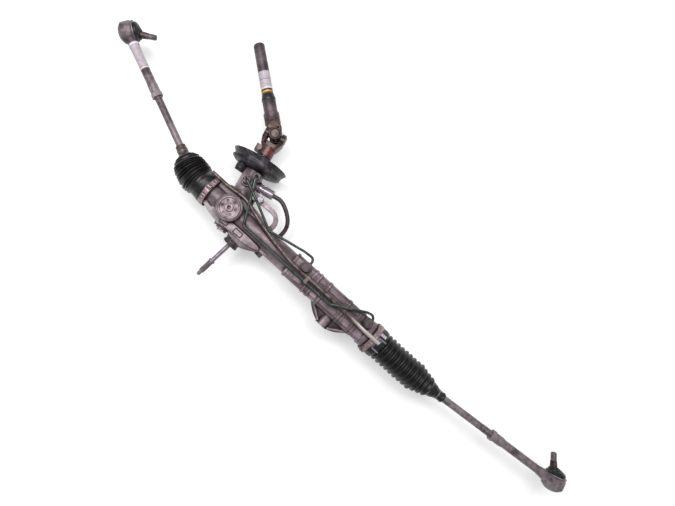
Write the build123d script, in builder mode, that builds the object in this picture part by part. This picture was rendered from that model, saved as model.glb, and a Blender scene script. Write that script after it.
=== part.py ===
from build123d import *
import os
from math import acos, atan2, cos, pi, radians, sin, tan

# Hydraulic rack-and-pinion steering gear with its tie rods and intermediate shaft, in mm.
# The origin is the mouth of the far-side mount. X runs along the rack toward the far side,
# Y toward the steering column and Z toward the yoke plug.
os.makedirs("parts", exist_ok=True)

# Fits
running_gap = 0.05  # radial, shaft in its bearing
loose_gap = 0.3  # radial, curved faces of two moving bodies
seat_gap = 0.15  # radial, a piece pushed into its seat

# Layout: stations along the rack count from the middle of the pinion box
pinion_x = 4.0
far_mount_x = 280.0
far_mount_reach = 48.0
pinion_lean = 12.5  # degrees, from square to the rack toward the near side
left_ball_x = -93.0
right_ball_x = 477.0
left_rod_angle = 157.0  # degrees from +X, seen from above
right_rod_angle = 5.4
rack_to_left = 92.0  # rack travel from this pose
rack_to_right = 24.0

# Rack and pinion
rack_radius = 12.0
tooth_module = 1.6
pinion_teeth = 8
pressure_angle = 25.0
pinion_addendum = 1.5
rack_addendum = 1.0
tip_gap = 0.35
tooth_backlash = 0.3
rack_pitch_depth = 8.0  # pitch line below the rack's axis
teeth_before = 7
teeth_after = 20

# Housing casting
snout_radius = 26.9
left_end = -72.0
left_step = -44.0
tube_radius = 23.4
box_start = 158.0
box_end = 350.0
box_width = 51.0
box_height = 47.0
box_corner = 9.0
collar_rise = 1.6
collar_width = 5.0
end_ring_width = 11.0
end_ring_radius = 27.8
right_end = 386.0
cylinder_radius = 20.0
socket_room_radius = 20.9
left_room = 31.0
right_room = 29.0
cylinder_start = 176.0
seal_seat_length = 12.0
seal_seat_radius = 17.0
gear_top = 15.0
gear_floor = -21.0
yoke_radius = 15.0
yoke_tower_radius = 25.5
yoke_tower_top = 33.0
plug_radius = 21.5
plug_thread = 8.0
pinion_case_radius = 19.6
pinion_case_foot = -38.0
pinion_case_head = 34.0
web_depth = 7.0
rail_rise = 3.0

# Pinion stack, measured along the pinion's axis from its foot
pinion_face = 14.0
pinion_journal = 6.5
lower_bearing = (-33.0, -21.0)
lower_bearing_radius = 11.0
upper_bearing = (19.0, 33.0)
upper_bearing_radius = 16.0
valve_end = 88.0
valve_radius = 17.0
valve_case_radius = 20.5
input_radius = 9.0
input_bearing_length = 12.0
flange_thickness = 7.0
bolt_circle = 26.5
bolt_angle = 100.0
bolt_radius = 3.0
bolt_hole = 3.2
bolt_grip = 12.0
lobe_radius = 6.5
arm_bolt = (33.5, 51.0)
arm_half = 6.0
valve_top = 106.0
valve_neck_radius = 16.5
joint_distance = 169.0
shaft_bend = 40.0  # degrees, between the pinion's axis and the intermediate shaft

# Universal joint and intermediate shaft
ear_inside = 12.5
ear_outside = 21.5
ear_radius = 12.0
ear_waist = 8.0  # half the width of an arm where it leaves its ear
hub_shoulder = 13.5  # and where it meets the hub
hub_distance = 25.0
hub_length = 20.0
hub_radius = 15.5
cup_radius = 8.0
trunnion_radius = 5.0
slip_tube_radius = 13.2
slip_tube_end = 76.0
slip_shaft_radius = 11.2
slip_shaft_start = 50.0
slip_shaft_end = 183.5
slip_flat = 9.4
slip_travel = 8.0
column_bore_radius = 8.0
column_bore_depth = 30.0

# Dust cover
cover_throat = 89.0
cover_rim = 95.0
cover_lip = 110.0
cover_rim_radius = 53.5
cover_lip_radius = cover_rim_radius + 4.0
cover_wall = 2.5

# Tie rods
ball_radius = 15.0
liner_wall = 1.3
socket_radius = 19.8
socket_mouth = 7.0
socket_back = 26.0
rod_radius = 7.1
rod_length = 225.0
left_jam = rod_length - 49.0
right_jam = rod_length - 28.0
left_stud_distance = left_jam + 130.0
right_stud_distance = right_jam + 143.0
end_shank_radius = 8.8
left_shank_radius = 9.0
right_shank_radius = 8.0
head_radius = 20.0
head_above = 10.5
head_below = 14.5
head_dome = 4.0
stud_ball_radius = 10.0
stud_length = 56.0
stud_neck_radius = 5.2
mouth_radius = 9.3
stud_taper_radius = 7.2
stud_thread_radius = 5.0
head_lean = 76.0  # degrees, between a rod's inward direction and its ball housing's axis
stud_swing = 22.0  # degrees, how far each stud leans from its housing's axis

# Boots
boot_wall = 1.7
boot_cuff_radius = 30.3
boot_folds = 10
boot_neck_radius = 9.5
clamp_width = 11.0
clamp_thickness = 1.2

# Pipes
line_radius = 2.5
line_bend = 8.0
vent_radius = 3.6
hose_radius = 4.4
port_radius = 8.5
left_port_x = 185.0
right_port_x = 340.0
port_reach = 15.0  # from the rack's axis toward the column
port_rise = 3.0
union_radius = 9.0
union_height = 12.0

# Mounts
lug_x = 47.0
lug_face = -38.0
lug_seat = 6.0  # wall between the lug's face and the head of the mount bolt
mount_bolt_lean = 4.8
mount_bolt_radius = 4.5
mount_thread_radius = 5.25
mount_bolt_length = 98.0
mount_shoulder = 58.0
mount_bush_radius = 16.5
mount_bush_length = 15.0
far_boss_radius = 13.5
far_bore_radius = 6.1
far_sleeve_radius = 8.5
far_sleeve_length = 20.0

gear = Plane(origin=(-far_mount_x, far_mount_reach, 0))
pitch_radius = tooth_module * pinion_teeth / 2
pinion_z = -(rack_pitch_depth + pitch_radius)
pinion_heading = 90 + pinion_lean
box_top = box_height / 2
port_top_height = box_top + port_rise


def facing(x, y, z, heading):
    """Plane at a point of the gear whose normal points at a heading in plan; its y axis is up."""
    normal = (cos(radians(heading)), sin(radians(heading)), 0)
    level = (-sin(radians(heading)), cos(radians(heading)), 0)
    return Plane(origin=gear.from_local_coords((x, y, z)), x_dir=level, z_dir=normal)


def across(x, y=0, z=0):
    """Plane square to the rack."""
    return facing(x, y, z, 0)


def raised(x, y, z):
    """Plane parallel to the top, at a point of the gear."""
    return Plane(origin=gear.from_local_coords((x, y, z)))


def bar(plane, radius, length, mode=Mode.ADD):
    """Round bar that starts on a plane and runs along its normal."""
    with BuildSketch(plane) as end:
        Circle(radius)
    extrude(end.sketch, amount=length, mode=mode)


def ring(plane, outer, inner, length):
    """Round sleeve that starts on a plane."""
    with BuildSketch(plane) as end:
        Circle(outer)
        Circle(inner, mode=Mode.SUBTRACT)
    extrude(end.sketch, amount=length)


def hexagon(plane, across_flats, length, mode=Mode.ADD):
    """Hexagonal bar that starts on a plane."""
    with BuildSketch(plane) as end:
        RegularPolygon(across_flats / 2, 6, major_radius=False)
    extrude(end.sketch, amount=length, mode=mode)


def turned(plane, outline, mode=Mode.ADD):
    """Revolves an outline of (distance along the normal, radius) points about the normal."""
    side = Plane(origin=plane.origin, x_dir=plane.z_dir, z_dir=plane.x_dir)
    with BuildSketch(side) as half:
        with BuildLine():
            Polyline(*outline, close=True)
        make_face()
    revolve(half.sketch, axis=Axis(plane.origin, plane.z_dir), mode=mode)


def pinion_plane(distance):
    """Plane square to the pinion's axis at a distance from its foot."""
    return facing(pinion_x, 0, pinion_z, pinion_heading).offset(distance)


def pinion_side(distance):
    """Plane on the pinion's axis whose normal points square to it, toward the far side."""
    foot = gear.to_local_coords(pinion_plane(distance).origin)
    return facing(foot.X, foot.Y, pinion_z, pinion_heading - 90)


def yoke_plane(height):
    """Plane square to the yoke's axis, which crosses the rack above the pinion."""
    return raised(pinion_x, 0, height)


# Rack housing: one aluminium casting with the pinion box, the rack tube and the power cylinder
mount_axis = facing(lug_x, lug_face, 0, -90 - mount_bolt_lean)
collars = (box_start, 205, 216, 240, 290, 325)
pads = ((178, 197), (222, 236), (246, 284), (296, 318))
with BuildPart() as rack_housing:
    turned(
        across(0),
        (
            (left_end, 0),
            (left_end, snout_radius),
            (left_step, snout_radius),
            (left_step, tube_radius),
            (box_end, tube_radius),
            (box_end, end_ring_radius),
            (box_end + end_ring_width, end_ring_radius),
            (box_end + end_ring_width, snout_radius),
            (right_end, snout_radius),
            (right_end, 0),
        ),
    )
    # Power cylinder jacket, its collars and the raised pads along its top
    with BuildSketch(across(box_start)):
        RectangleRounded(box_width, box_height, box_corner)
    extrude(amount=box_end - box_start)
    for x in collars:
        with BuildSketch(across(x)):
            RectangleRounded(
                box_width + 2 * collar_rise,
                box_height + 2 * collar_rise,
                box_corner + collar_rise,
            )
        extrude(amount=collar_width)
    with BuildSketch(raised(0, 0, box_top)):
        for start, end in pads:
            with Locations(((start + end) / 2, -13)):
                RectangleRounded(end - start, 12, 3)
            with Locations(((start + end) / 2, 15)):
                RectangleRounded(end - start, 9, 3)
    extrude(amount=collar_rise)
    # Pinion box in plan
    with BuildSketch(raised(0, 0, gear_floor)) as box_plan:
        with BuildLine():
            Polyline(
                (left_step, -25),
                (-26, -31),
                (4, -37),
                (30, -32.5),
                (62, -32),
                (98, -23),
                (118, -20),
                (118, 20),
                (96, 22),
                (60, 29),
                (26, 34),
                (-24, 33),
                (left_step, 25),
                close=True,
            )
        make_face()
        fillet(box_plan.vertices(), 5)
    extrude(amount=gear_top - gear_floor)
    # Webbed pockets beside the yoke tower leave a rail and ribs of the full height
    with BuildSketch(raised(0, 0, gear_top)):
        with BuildLine():
            Polyline((40, -11), (92, -11), (110, 2), (64, 15), (38, 18), close=True)
        make_face()
        with BuildLine():
            Polyline((-38, -19), (-25, -22), (-27, 18), (-38, 18), close=True)
        make_face()
    extrude(amount=-web_depth, mode=Mode.SUBTRACT)
    with BuildSketch(raised(0, 0, gear_top - web_depth)):
        with Locations((62, 3)):
            Rectangle(4, 30, rotation=28)
        with Locations((84, -1)):
            Rectangle(4, 26, rotation=-32)
        with Locations((72, 8), (100, 2)):
            Circle(5)
    extrude(amount=web_depth - 1)
    with BuildSketch(raised(0, 0, gear_top)):
        with Locations((12, -31)):
            Ellipse(7, 3.5, rotation=10)
        with Locations((56, -25)):
            RectangleRounded(66, 10, 3.5, rotation=2)
    extrude(amount=rail_rise)
    # A long pad with a moat round it on the rail, and one on the flank of the box
    with BuildSketch(raised(0, 0, gear_top + rail_rise)):
        with Locations((46, -24)):
            SlotOverall(22, 8, rotation=3)
            SlotOverall(17, 3.5, rotation=3, mode=Mode.SUBTRACT)
    extrude(amount=1.5 - rail_rise, mode=Mode.SUBTRACT)
    # Yoke tower, pinion case and their bosses
    bar(yoke_plane(0), yoke_tower_radius, yoke_tower_top)
    bar(pinion_plane(pinion_case_foot), pinion_case_radius, pinion_case_head - pinion_case_foot)
    with BuildSketch(pinion_plane(pinion_case_head - 8)):
        Circle(valve_case_radius + 1.5)
        with PolarLocations(bolt_circle, 3, start_angle=bolt_angle):
            Circle(lobe_radius)
    extrude(amount=8)
    bar(pinion_plane(pinion_case_head), bolt_circle + lobe_radius + 2, 20, Mode.SUBTRACT)
    # Cylinder port bosses
    for x in (left_port_x, right_port_x):
        bar(raised(x, port_reach, 0), union_radius + 1.5, port_top_height)
    # Near-side mount lug with an open pocket for the bolt's head
    with BuildSketch(raised(lug_x, lug_face + 7, -13)):
        Rectangle(2 * mount_bush_radius + 1, 18)
    extrude(amount=13 + gear_top)
    bar(mount_axis, mount_bush_radius + 8, 12, Mode.SUBTRACT)
    with BuildSketch(mount_axis.offset(-lug_seat)):
        with Locations((-1.5, 15)):
            RectangleRounded(17, 48, 2)
    extrude(amount=-10.4, mode=Mode.SUBTRACT)
    # Far-side mount: a round boss with a gusset on each flank
    bar(facing(far_mount_x, 0, 0, -90), far_boss_radius, far_mount_reach)
    with BuildSketch(raised(far_mount_x, 0, -6)):
        with BuildLine():
            Polyline((-48, -20), (-14, -43), (14, -43), (46, -20), close=True)
        make_face()
    extrude(amount=5)
    with BuildSketch(raised(far_mount_x, 0, -12)):
        with BuildLine():
            Polyline((-46, -20), (-46, -26), (-14, -31), (14, -31), (44, -26), (44, -20), close=True)
        make_face()
    extrude(amount=20)
    # Cast arm that reaches round to the valve housing's bolt
    with BuildSketch(raised(0, 0, -arm_half)):
        with BuildLine():
            FilletPolyline((84, 16), (86, arm_bolt[1]), arm_bolt, radius=20)
        trace(line_width=9)
    extrude(amount=2 * arm_half)
    bar(raised(*arm_bolt, -arm_half), bolt_radius + 4, 2 * arm_half + 2)
    # Bores
    bar(across(left_end), socket_room_radius, left_room, Mode.SUBTRACT)
    bar(across(left_end), rack_radius + 0.5, cylinder_start - left_end, Mode.SUBTRACT)
    bar(across(cylinder_start - seal_seat_length), seal_seat_radius, seal_seat_length, Mode.SUBTRACT)
    bar(across(cylinder_start), cylinder_radius, right_end - cylinder_start, Mode.SUBTRACT)
    bar(across(right_end - right_room), socket_room_radius, right_room, Mode.SUBTRACT)
    bar(yoke_plane(0), yoke_radius + seat_gap, yoke_tower_top, Mode.SUBTRACT)
    bar(yoke_plane(yoke_tower_top), plug_radius + seat_gap, -plug_thread, Mode.SUBTRACT)
    bar(pinion_plane(-40), lower_bearing_radius + seat_gap, 40 + lower_bearing[1], Mode.SUBTRACT)
    bar(pinion_plane(-25), pitch_radius + pinion_addendum + 1, 60, Mode.SUBTRACT)
    bar(pinion_plane(upper_bearing[0]), upper_bearing_radius + seat_gap, 20, Mode.SUBTRACT)
    with BuildSketch(pinion_plane(pinion_case_head)):
        with PolarLocations(bolt_circle, 3, start_angle=bolt_angle):
            Circle(bolt_hole)
    extrude(amount=-bolt_grip - 2, mode=Mode.SUBTRACT)
    for x in (left_port_x, right_port_x):
        bar(raised(x, port_reach, port_top_height), line_radius + 0.7, -14, Mode.SUBTRACT)
    far_mouth = facing(far_mount_x, -far_mount_reach, 0, 90)
    bar(far_mouth, far_sleeve_radius + seat_gap, far_sleeve_length, Mode.SUBTRACT)
    bar(raised(*arm_bolt, arm_half + 2), bolt_hole, -2 * arm_half - 2, Mode.SUBTRACT)
    bar(mount_axis.offset(-lug_seat - 5), mount_bolt_radius + 0.4, lug_seat + 5, Mode.SUBTRACT)
rack_housing.part.label = "rack_housing"
export_step(rack_housing.part, "parts/rack_housing.step")


# Yoke, its spring and the threaded plug that closes the yoke tower
yoke_top = 21.0
spring_height = 3.2
plug_top = yoke_tower_top + 1.5
plug_foot = yoke_tower_top - plug_thread
with BuildPart() as rack_yoke:
    bar(yoke_plane(3), yoke_radius, yoke_top - 3)
    bar(across(pinion_x - 20), rack_radius + loose_gap, 40, Mode.SUBTRACT)
    bar(yoke_plane(yoke_top), 9, -3, Mode.SUBTRACT)
rack_yoke.part.label = "rack_yoke"
export_step(rack_yoke.part, "parts/rack_yoke.step")

spring_foot = yoke_top - 3
with BuildPart() as yoke_spring:
    turned(
        yoke_plane(spring_foot),
        (
            (0, 8.6),
            (1.2, 8.6),
            (plug_foot - spring_foot, 5),
            (plug_foot - spring_foot, 3.6),
            (plug_foot - spring_foot - 1.2, 3.6),
        ),
    )
yoke_spring.part.label = "yoke_spring"
export_step(yoke_spring.part, "parts/yoke_spring.step")

dimple_ring_radius = 13.5
with BuildPart() as yoke_plug:
    bar(yoke_plane(plug_foot), plug_radius, plug_top - plug_foot)
    with BuildSketch(yoke_plane(plug_top)):
        Circle(plug_radius - 3)
        Circle(8, mode=Mode.SUBTRACT)
    extrude(amount=-2.2, mode=Mode.SUBTRACT)
    with BuildSketch(yoke_plane(plug_top - 2.2)):
        with PolarLocations(dimple_ring_radius, 6, start_angle=20):
            Circle(2.8)
    extrude(amount=-2, mode=Mode.SUBTRACT)
    bar(yoke_plane(plug_top), 3.4, -6, Mode.SUBTRACT)
    chamfer(yoke_plug.edges().filter_by(GeomType.CIRCLE).group_by(Axis.Z)[-1], 0.6)
yoke_plug.part.label = "yoke_plug"
export_step(yoke_plug.part, "parts/yoke_plug.step")

# Rack: teeth cut parallel to the pinion's axis in a flat along its underside
tooth_pitch = pi * tooth_module
rack_left = left_ball_x + socket_back
rack_right = right_ball_x - socket_back
flat_depth = rack_pitch_depth + rack_addendum
slope = tan(radians(pressure_angle))
space_mouth = tooth_pitch / 4 + rack_addendum * slope
space_root = tooth_pitch / 4 - (pinion_addendum + tip_gap) * slope
space_depth = rack_addendum + pinion_addendum + tip_gap
tooth_count = teeth_before + teeth_after + 1
teeth_middle = (teeth_after - teeth_before) / 2 * tooth_pitch
rack_step = tooth_pitch / cos(radians(pinion_lean))
flat_left = pinion_x - (teeth_before + 1) * rack_step
flat_right = pinion_x + (teeth_after + 1) * rack_step
with BuildPart() as rack_bar:
    bar(across(rack_left), rack_radius, rack_right - rack_left)
    chamfer(rack_bar.edges().filter_by(GeomType.CIRCLE), 0.8)
    with BuildSketch(raised((flat_left + flat_right) / 2, 0, -flat_depth)):
        Rectangle(flat_right - flat_left, 2 * rack_radius)
    extrude(amount=-rack_radius, mode=Mode.SUBTRACT)
    with BuildSketch(facing(pinion_x, 0, -flat_depth, pinion_heading)):
        with Locations((-teeth_middle, 0)):
            with GridLocations(tooth_pitch, 1, tooth_count, 1):
                Polygon(
                    (-space_mouth, -0.01),
                    (-space_root, space_depth),
                    (space_root, space_depth),
                    (space_mouth, -0.01),
                    align=None,
                )
    extrude(amount=60, both=True, mode=Mode.SUBTRACT)
    for plane in (across(rack_left), across(rack_right).rotated((0, 180, 0))):
        bar(plane, 7, 18, Mode.SUBTRACT)
    with BuildSketch(across(296)):
        Circle(rack_radius)
        Circle(rack_radius - 0.6, mode=Mode.SUBTRACT)
    extrude(amount=8, both=True, mode=Mode.SUBTRACT)
rack_bar.part.label = "rack_bar"
export_step(rack_bar.part, "parts/rack_bar.step")

# Piston, its ring, and the seals and bush at the ends of the power cylinder
piston_x = 296.0
piston_half = 8.0
with BuildPart() as rack_piston:
    ring(across(piston_x - piston_half), cylinder_radius - 0.5, rack_radius - 0.5, 2 * piston_half)
    ring(across(piston_x - 3), cylinder_radius - running_gap, cylinder_radius - 2, 6)
rack_piston.part.label = "rack_piston"
export_step(rack_piston.part, "parts/rack_piston.step")

with BuildPart() as inner_cylinder_seal:
    ring(
        across(cylinder_start - seal_seat_length),
        seal_seat_radius,
        rack_radius + running_gap,
        seal_seat_length,
    )
inner_cylinder_seal.part.label = "inner_cylinder_seal"
export_step(inner_cylinder_seal.part, "parts/inner_cylinder_seal.step")

bush_end = right_end - right_room
bush_length = 11.0
with BuildPart() as rack_end_bushing:
    ring(across(bush_end - bush_length), cylinder_radius, rack_radius + running_gap, bush_length)
    ring(across(bush_end - 6), cylinder_radius, cylinder_radius - 2, 2)
rack_end_bushing.part.label = "rack_end_bushing"
export_step(rack_end_bushing.part, "parts/rack_end_bushing.step")

# Pinion, with involute flanks
base_radius = pitch_radius * cos(radians(pressure_angle))
tip_radius = pitch_radius + pinion_addendum
root_radius = pitch_radius - rack_addendum - tip_gap
pressure = radians(pressure_angle)
half_tooth = (pi * tooth_module / 2 - tooth_backlash) / 2 / pitch_radius
flank_steps = 3


def tooth_half_angle(radius):
    """Half the angle that a tooth fills at a radius, from the involute of its base circle."""
    there = acos(min(1, base_radius / radius))
    return half_tooth + (tan(pressure) - pressure) - (tan(there) - there)


flank = [(root_radius, half_tooth + 0.03)]
for k in range(flank_steps + 1):
    flank_radius = base_radius + (tip_radius - base_radius) * k / flank_steps
    flank.append((flank_radius, tooth_half_angle(flank_radius)))
tooth_outline = [(r * cos(pi / 2 - a), r * sin(pi / 2 - a)) for r, a in flank]
tooth_outline += [(-x, y) for x, y in reversed(tooth_outline)]
shaft_journal = 7.5
pinion_foot = lower_bearing[0] - 4
pinion_shaft_end = valve_end - 26
with BuildPart() as pinion_shaft:
    bar(pinion_plane(pinion_foot), pinion_journal, -pinion_face - pinion_foot)
    with BuildSketch(pinion_plane(-pinion_face)):
        Circle(root_radius)
        with PolarLocations(0, pinion_teeth):
            Polygon((-1, 0), *reversed(tooth_outline), (1, 0), align=None)
    extrude(amount=2 * pinion_face)
    bar(pinion_plane(pinion_face), shaft_journal, pinion_shaft_end - pinion_face)
pinion_shaft.part.label = "pinion_shaft"
export_step(pinion_shaft.part, "parts/pinion_shaft.step")

with BuildPart() as lower_pinion_bearing:
    ring(
        pinion_plane(lower_bearing[0]),
        lower_bearing_radius,
        pinion_journal + running_gap,
        lower_bearing[1] - lower_bearing[0],
    )
lower_pinion_bearing.part.label = "lower_pinion_bearing"
export_step(lower_pinion_bearing.part, "parts/lower_pinion_bearing.step")

with BuildPart() as upper_pinion_bearing:
    ring(
        pinion_plane(upper_bearing[0] + 2.3),
        upper_bearing_radius,
        shaft_journal + running_gap,
        upper_bearing[1] - upper_bearing[0] - 2.3,
    )
upper_pinion_bearing.part.label = "upper_pinion_bearing"
export_step(upper_pinion_bearing.part, "parts/upper_pinion_bearing.step")

with BuildPart() as pinion_end_cap:
    bar(pinion_plane(pinion_case_foot - 3), 14, 3)
    hexagon(pinion_plane(pinion_case_foot - 7), 17, 4)
pinion_end_cap.part.label = "pinion_end_cap"
export_step(pinion_end_cap.part, "parts/pinion_end_cap.step")

# Rotary valve: its housing, the sleeve on the pinion and the input shaft
valve_start = pinion_case_head
port_one = (-10, 62)
port_two = (0, 79)
port_top = 9.0
fitting_distance = 66.0
with BuildPart() as valve_housing:
    bar(pinion_plane(valve_start), valve_case_radius, valve_end - valve_start)
    bar(pinion_plane(valve_end), valve_neck_radius, valve_top - valve_end)
    with BuildSketch(pinion_plane(valve_start)):
        Circle(valve_case_radius + 1.5)
        with PolarLocations(bolt_circle, 3, start_angle=bolt_angle):
            Circle(lobe_radius)
    extrude(amount=flange_thickness)
    for port in (port_one, port_two):
        bar(raised(*port, pinion_z), port_radius, port_top - pinion_z)
    bar(pinion_side(fitting_distance), 11, 24)
    bar(raised(*arm_bolt, pinion_z), bolt_radius + 4, -arm_half - seat_gap - pinion_z)
    with BuildSketch(raised(0, 0, pinion_z)) as ear_plan:
        with BuildLine():
            Polyline((0, 42), (34, 45), (34, 57), (0, 62), close=True)
        make_face()
    extrude(amount=7)
    bar(pinion_plane(valve_start - 1), valve_radius, valve_end - valve_start - 3, Mode.SUBTRACT)
    bar(pinion_plane(valve_end - 5), input_radius + 4, 30, Mode.SUBTRACT)
    bar(pinion_side(fitting_distance), 6, 30, Mode.SUBTRACT)
    with BuildSketch(pinion_plane(valve_start)):
        with PolarLocations(bolt_circle, 3, start_angle=bolt_angle):
            Circle(bolt_hole)
    extrude(amount=flange_thickness, mode=Mode.SUBTRACT)
    for port in (port_one, port_two):
        bar(raised(*port, port_top), 3.4, -14, Mode.SUBTRACT)
    bar(raised(*arm_bolt, -arm_half - seat_gap), bolt_hole, -20, Mode.SUBTRACT)
valve_housing.part.label = "valve_housing"
export_step(valve_housing.part, "parts/valve_housing.step")

# Flange bolts along the pinion's axis and the bolt through the cast arm, all alike
with BuildPart() as housing_bolts:
    with BuildSketch(pinion_plane(valve_start + flange_thickness)):
        with PolarLocations(bolt_circle, 3, start_angle=bolt_angle):
            RegularPolygon(5, 6, major_radius=False)
    extrude(amount=4)
    with BuildSketch(pinion_plane(valve_start + flange_thickness)):
        with PolarLocations(bolt_circle, 3, start_angle=bolt_angle):
            Circle(bolt_radius)
    extrude(amount=-flange_thickness - bolt_grip)
    hexagon(raised(*arm_bolt, arm_half + 2), 10, 4)
    bar(raised(*arm_bolt, arm_half + 2), bolt_radius, pinion_z - arm_half - 2)
housing_bolts.part.label = "housing_bolts"
export_step(housing_bolts.part, "parts/housing_bolts.step")

sleeve_start = upper_bearing[1] + 3
sleeve_length = 42.0
with BuildPart() as valve_sleeve:
    ring(pinion_plane(sleeve_start), valve_radius - running_gap, shaft_journal + seat_gap, sleeve_length)
    for k in range(3):
        with BuildSketch(pinion_plane(sleeve_start + 8 + 10 * k)):
            Circle(valve_radius)
            Circle(valve_radius - 2.5, mode=Mode.SUBTRACT)
        extrude(amount=6, mode=Mode.SUBTRACT)
    bar(pinion_plane(pinion_shaft_end), input_radius + seat_gap, 60, Mode.SUBTRACT)
valve_sleeve.part.label = "valve_sleeve"
export_step(valve_sleeve.part, "parts/valve_sleeve.step")

input_end = joint_distance - hub_distance - 2
with BuildPart() as input_shaft:
    bar(pinion_plane(pinion_shaft_end), input_radius, input_end - pinion_shaft_end)
    chamfer(input_shaft.edges().filter_by(GeomType.CIRCLE), 0.8)
input_shaft.part.label = "input_shaft"
export_step(input_shaft.part, "parts/input_shaft.step")

with BuildPart() as input_shaft_bearing:
    ring(
        pinion_plane(valve_end + 4),
        input_radius + 4 - seat_gap,
        input_radius + running_gap,
        input_bearing_length,
    )
input_shaft_bearing.part.label = "input_shaft_bearing"
export_step(input_shaft_bearing.part, "parts/input_shaft_bearing.step")

# Forks of the universal joint: an outline seen along the pin is crossed with one seen across it
hub_root = hub_distance + 2


def fork(joint):
    """Yoke whose hub lies along the plane's normal and whose pin lies along its x axis."""
    along_pin = Plane(origin=joint.origin, x_dir=joint.z_dir, z_dir=joint.x_dir)
    across_pin = Plane(origin=joint.origin, x_dir=joint.z_dir, z_dir=joint.y_dir)
    with BuildSketch(along_pin) as ears:
        Circle(ear_radius)
        Polygon(
            (0, ear_waist),
            (0, -ear_waist),
            (hub_root, -hub_shoulder),
            (hub_root, hub_shoulder),
            align=None,
        )
    extrude(ears.sketch, amount=ear_outside, both=True)
    with BuildSketch(across_pin) as arms:
        with BuildLine():
            Polyline(
                (-ear_radius, -ear_outside + 3),
                (-ear_radius + 3, -ear_outside),
                (ear_radius, -ear_outside),
                (hub_root, -hub_radius),
                (hub_root, hub_radius),
                (ear_radius, ear_outside),
                (-ear_radius + 3, ear_outside),
                (-ear_radius, ear_outside - 3),
                close=True,
            )
        make_face()
    extrude(arms.sketch, amount=hub_radius, both=True, mode=Mode.INTERSECT)
    with BuildSketch(across_pin) as gap:
        with Locations((hub_distance / 2 - ear_radius, 0)):
            RectangleRounded(hub_distance + 2 * ear_radius, 2 * ear_inside, 6)
    extrude(gap.sketch, amount=hub_radius + 1, both=True, mode=Mode.SUBTRACT)
    bar(joint.offset(hub_distance), hub_radius, hub_length)
    pin_end = along_pin.offset(-ear_outside - 1)
    bar(pin_end, cup_radius + seat_gap, 2 * ear_outside + 2, Mode.SUBTRACT)


def cups(joint):
    """Bearing cups in the two ears of a fork, open toward the cross."""
    along_pin = Plane(origin=joint.origin, x_dir=joint.z_dir, z_dir=joint.x_dir)
    cup_length = ear_outside - ear_inside
    for side in (1, -1):
        mouth = along_pin.offset(side * (ear_inside + 0.5))
        bar(mouth, cup_radius, side * cup_length)
        bar(mouth, trunnion_radius + running_gap, side * (cup_length - 2), Mode.SUBTRACT)


joint_spot = gear.to_local_coords(pinion_plane(joint_distance).origin)
shaft_heading = pinion_heading + shaft_bend
lower_joint = facing(joint_spot.X, joint_spot.Y, pinion_z, pinion_heading + 180)
upper_shaft = facing(joint_spot.X, joint_spot.Y, pinion_z, shaft_heading)
upper_joint = Plane(origin=upper_shaft.origin, x_dir=(0, 0, 1), z_dir=upper_shaft.z_dir)
clamp_ear = 23.0
ear_height = 17.0
pinch_radius = 3.5
pinch_offset = input_radius + pinch_radius + 2.5
pinch_spot = gear.to_local_coords(
    lower_joint.offset(hub_distance + 11).from_local_coords((-pinch_offset, 0))
)
with BuildPart() as lower_fork:
    fork(lower_joint)
    with BuildSketch(lower_joint.offset(hub_distance + 4)):
        with Locations((9 - clamp_ear, 0)):
            RectangleRounded(18, ear_height, 3)
    extrude(amount=14)
    hub_mouth = lower_joint.offset(hub_distance + hub_length)
    bar(hub_mouth, input_radius + running_gap, -hub_length, Mode.SUBTRACT)
    with BuildSketch(lower_joint.offset(hub_distance + 2)):
        with Locations((-clamp_ear, 0)):
            Rectangle(2 * clamp_ear, 2.2)
    extrude(amount=hub_length, mode=Mode.SUBTRACT)
    pinch_top = raised(pinch_spot.X, pinch_spot.Y, pinion_z + ear_height / 2)
    bar(pinch_top, pinch_radius + 0.2, -ear_height, Mode.SUBTRACT)
    bar(pinch_top, 7, 12, Mode.SUBTRACT)
    bar(pinch_top.offset(-ear_height), 7, -12, Mode.SUBTRACT)
lower_fork.part.label = "lower_fork"
export_step(lower_fork.part, "parts/lower_fork.step")

with BuildPart() as pinch_bolt:
    hexagon(pinch_top, 11, 5)
    bar(pinch_top, pinch_radius, -ear_height - 3)
    hexagon(pinch_top.offset(-ear_height), 11, -5)
pinch_bolt.part.label = "pinch_bolt"
export_step(pinch_bolt.part, "parts/pinch_bolt.step")

with BuildPart() as joint_cross:
    for plane in (lower_joint, upper_joint):
        along_pin = Plane(origin=plane.origin, x_dir=plane.z_dir, z_dir=plane.x_dir)
        bar(along_pin.offset(-ear_outside + 3), trunnion_radius, 2 * ear_outside - 6)
        bar(along_pin.offset(-ear_inside + 1.5), cup_radius, 2 * ear_inside - 3)
joint_cross.part.label = "joint_cross"
export_step(joint_cross.part, "parts/joint_cross.step")

for name, plane in (("lower_fork_cups", lower_joint), ("upper_yoke_cups", upper_joint)):
    with BuildPart() as cup_pair:
        cups(plane)
    cup_pair.part.label = name
    export_step(cup_pair.part, f"parts/{name}.step")

# Intermediate shaft: the upper yoke's tube takes the flatted end of the sliding shaft
with BuildPart() as upper_yoke:
    fork(upper_joint)
    bar(upper_joint.offset(hub_distance), slip_tube_radius, slip_tube_end - hub_distance)
    bore_foot = slip_shaft_start - 16
    with BuildSketch(upper_joint.offset(bore_foot)):
        Circle(slip_shaft_radius + seat_gap)
        Rectangle(
            2 * (slip_flat + seat_gap), 3 * slip_shaft_radius, mode=Mode.INTERSECT
        )
    extrude(amount=slip_tube_end - bore_foot, mode=Mode.SUBTRACT)
upper_yoke.part.label = "upper_yoke"
export_step(upper_yoke.part, "parts/upper_yoke.step")

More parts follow.
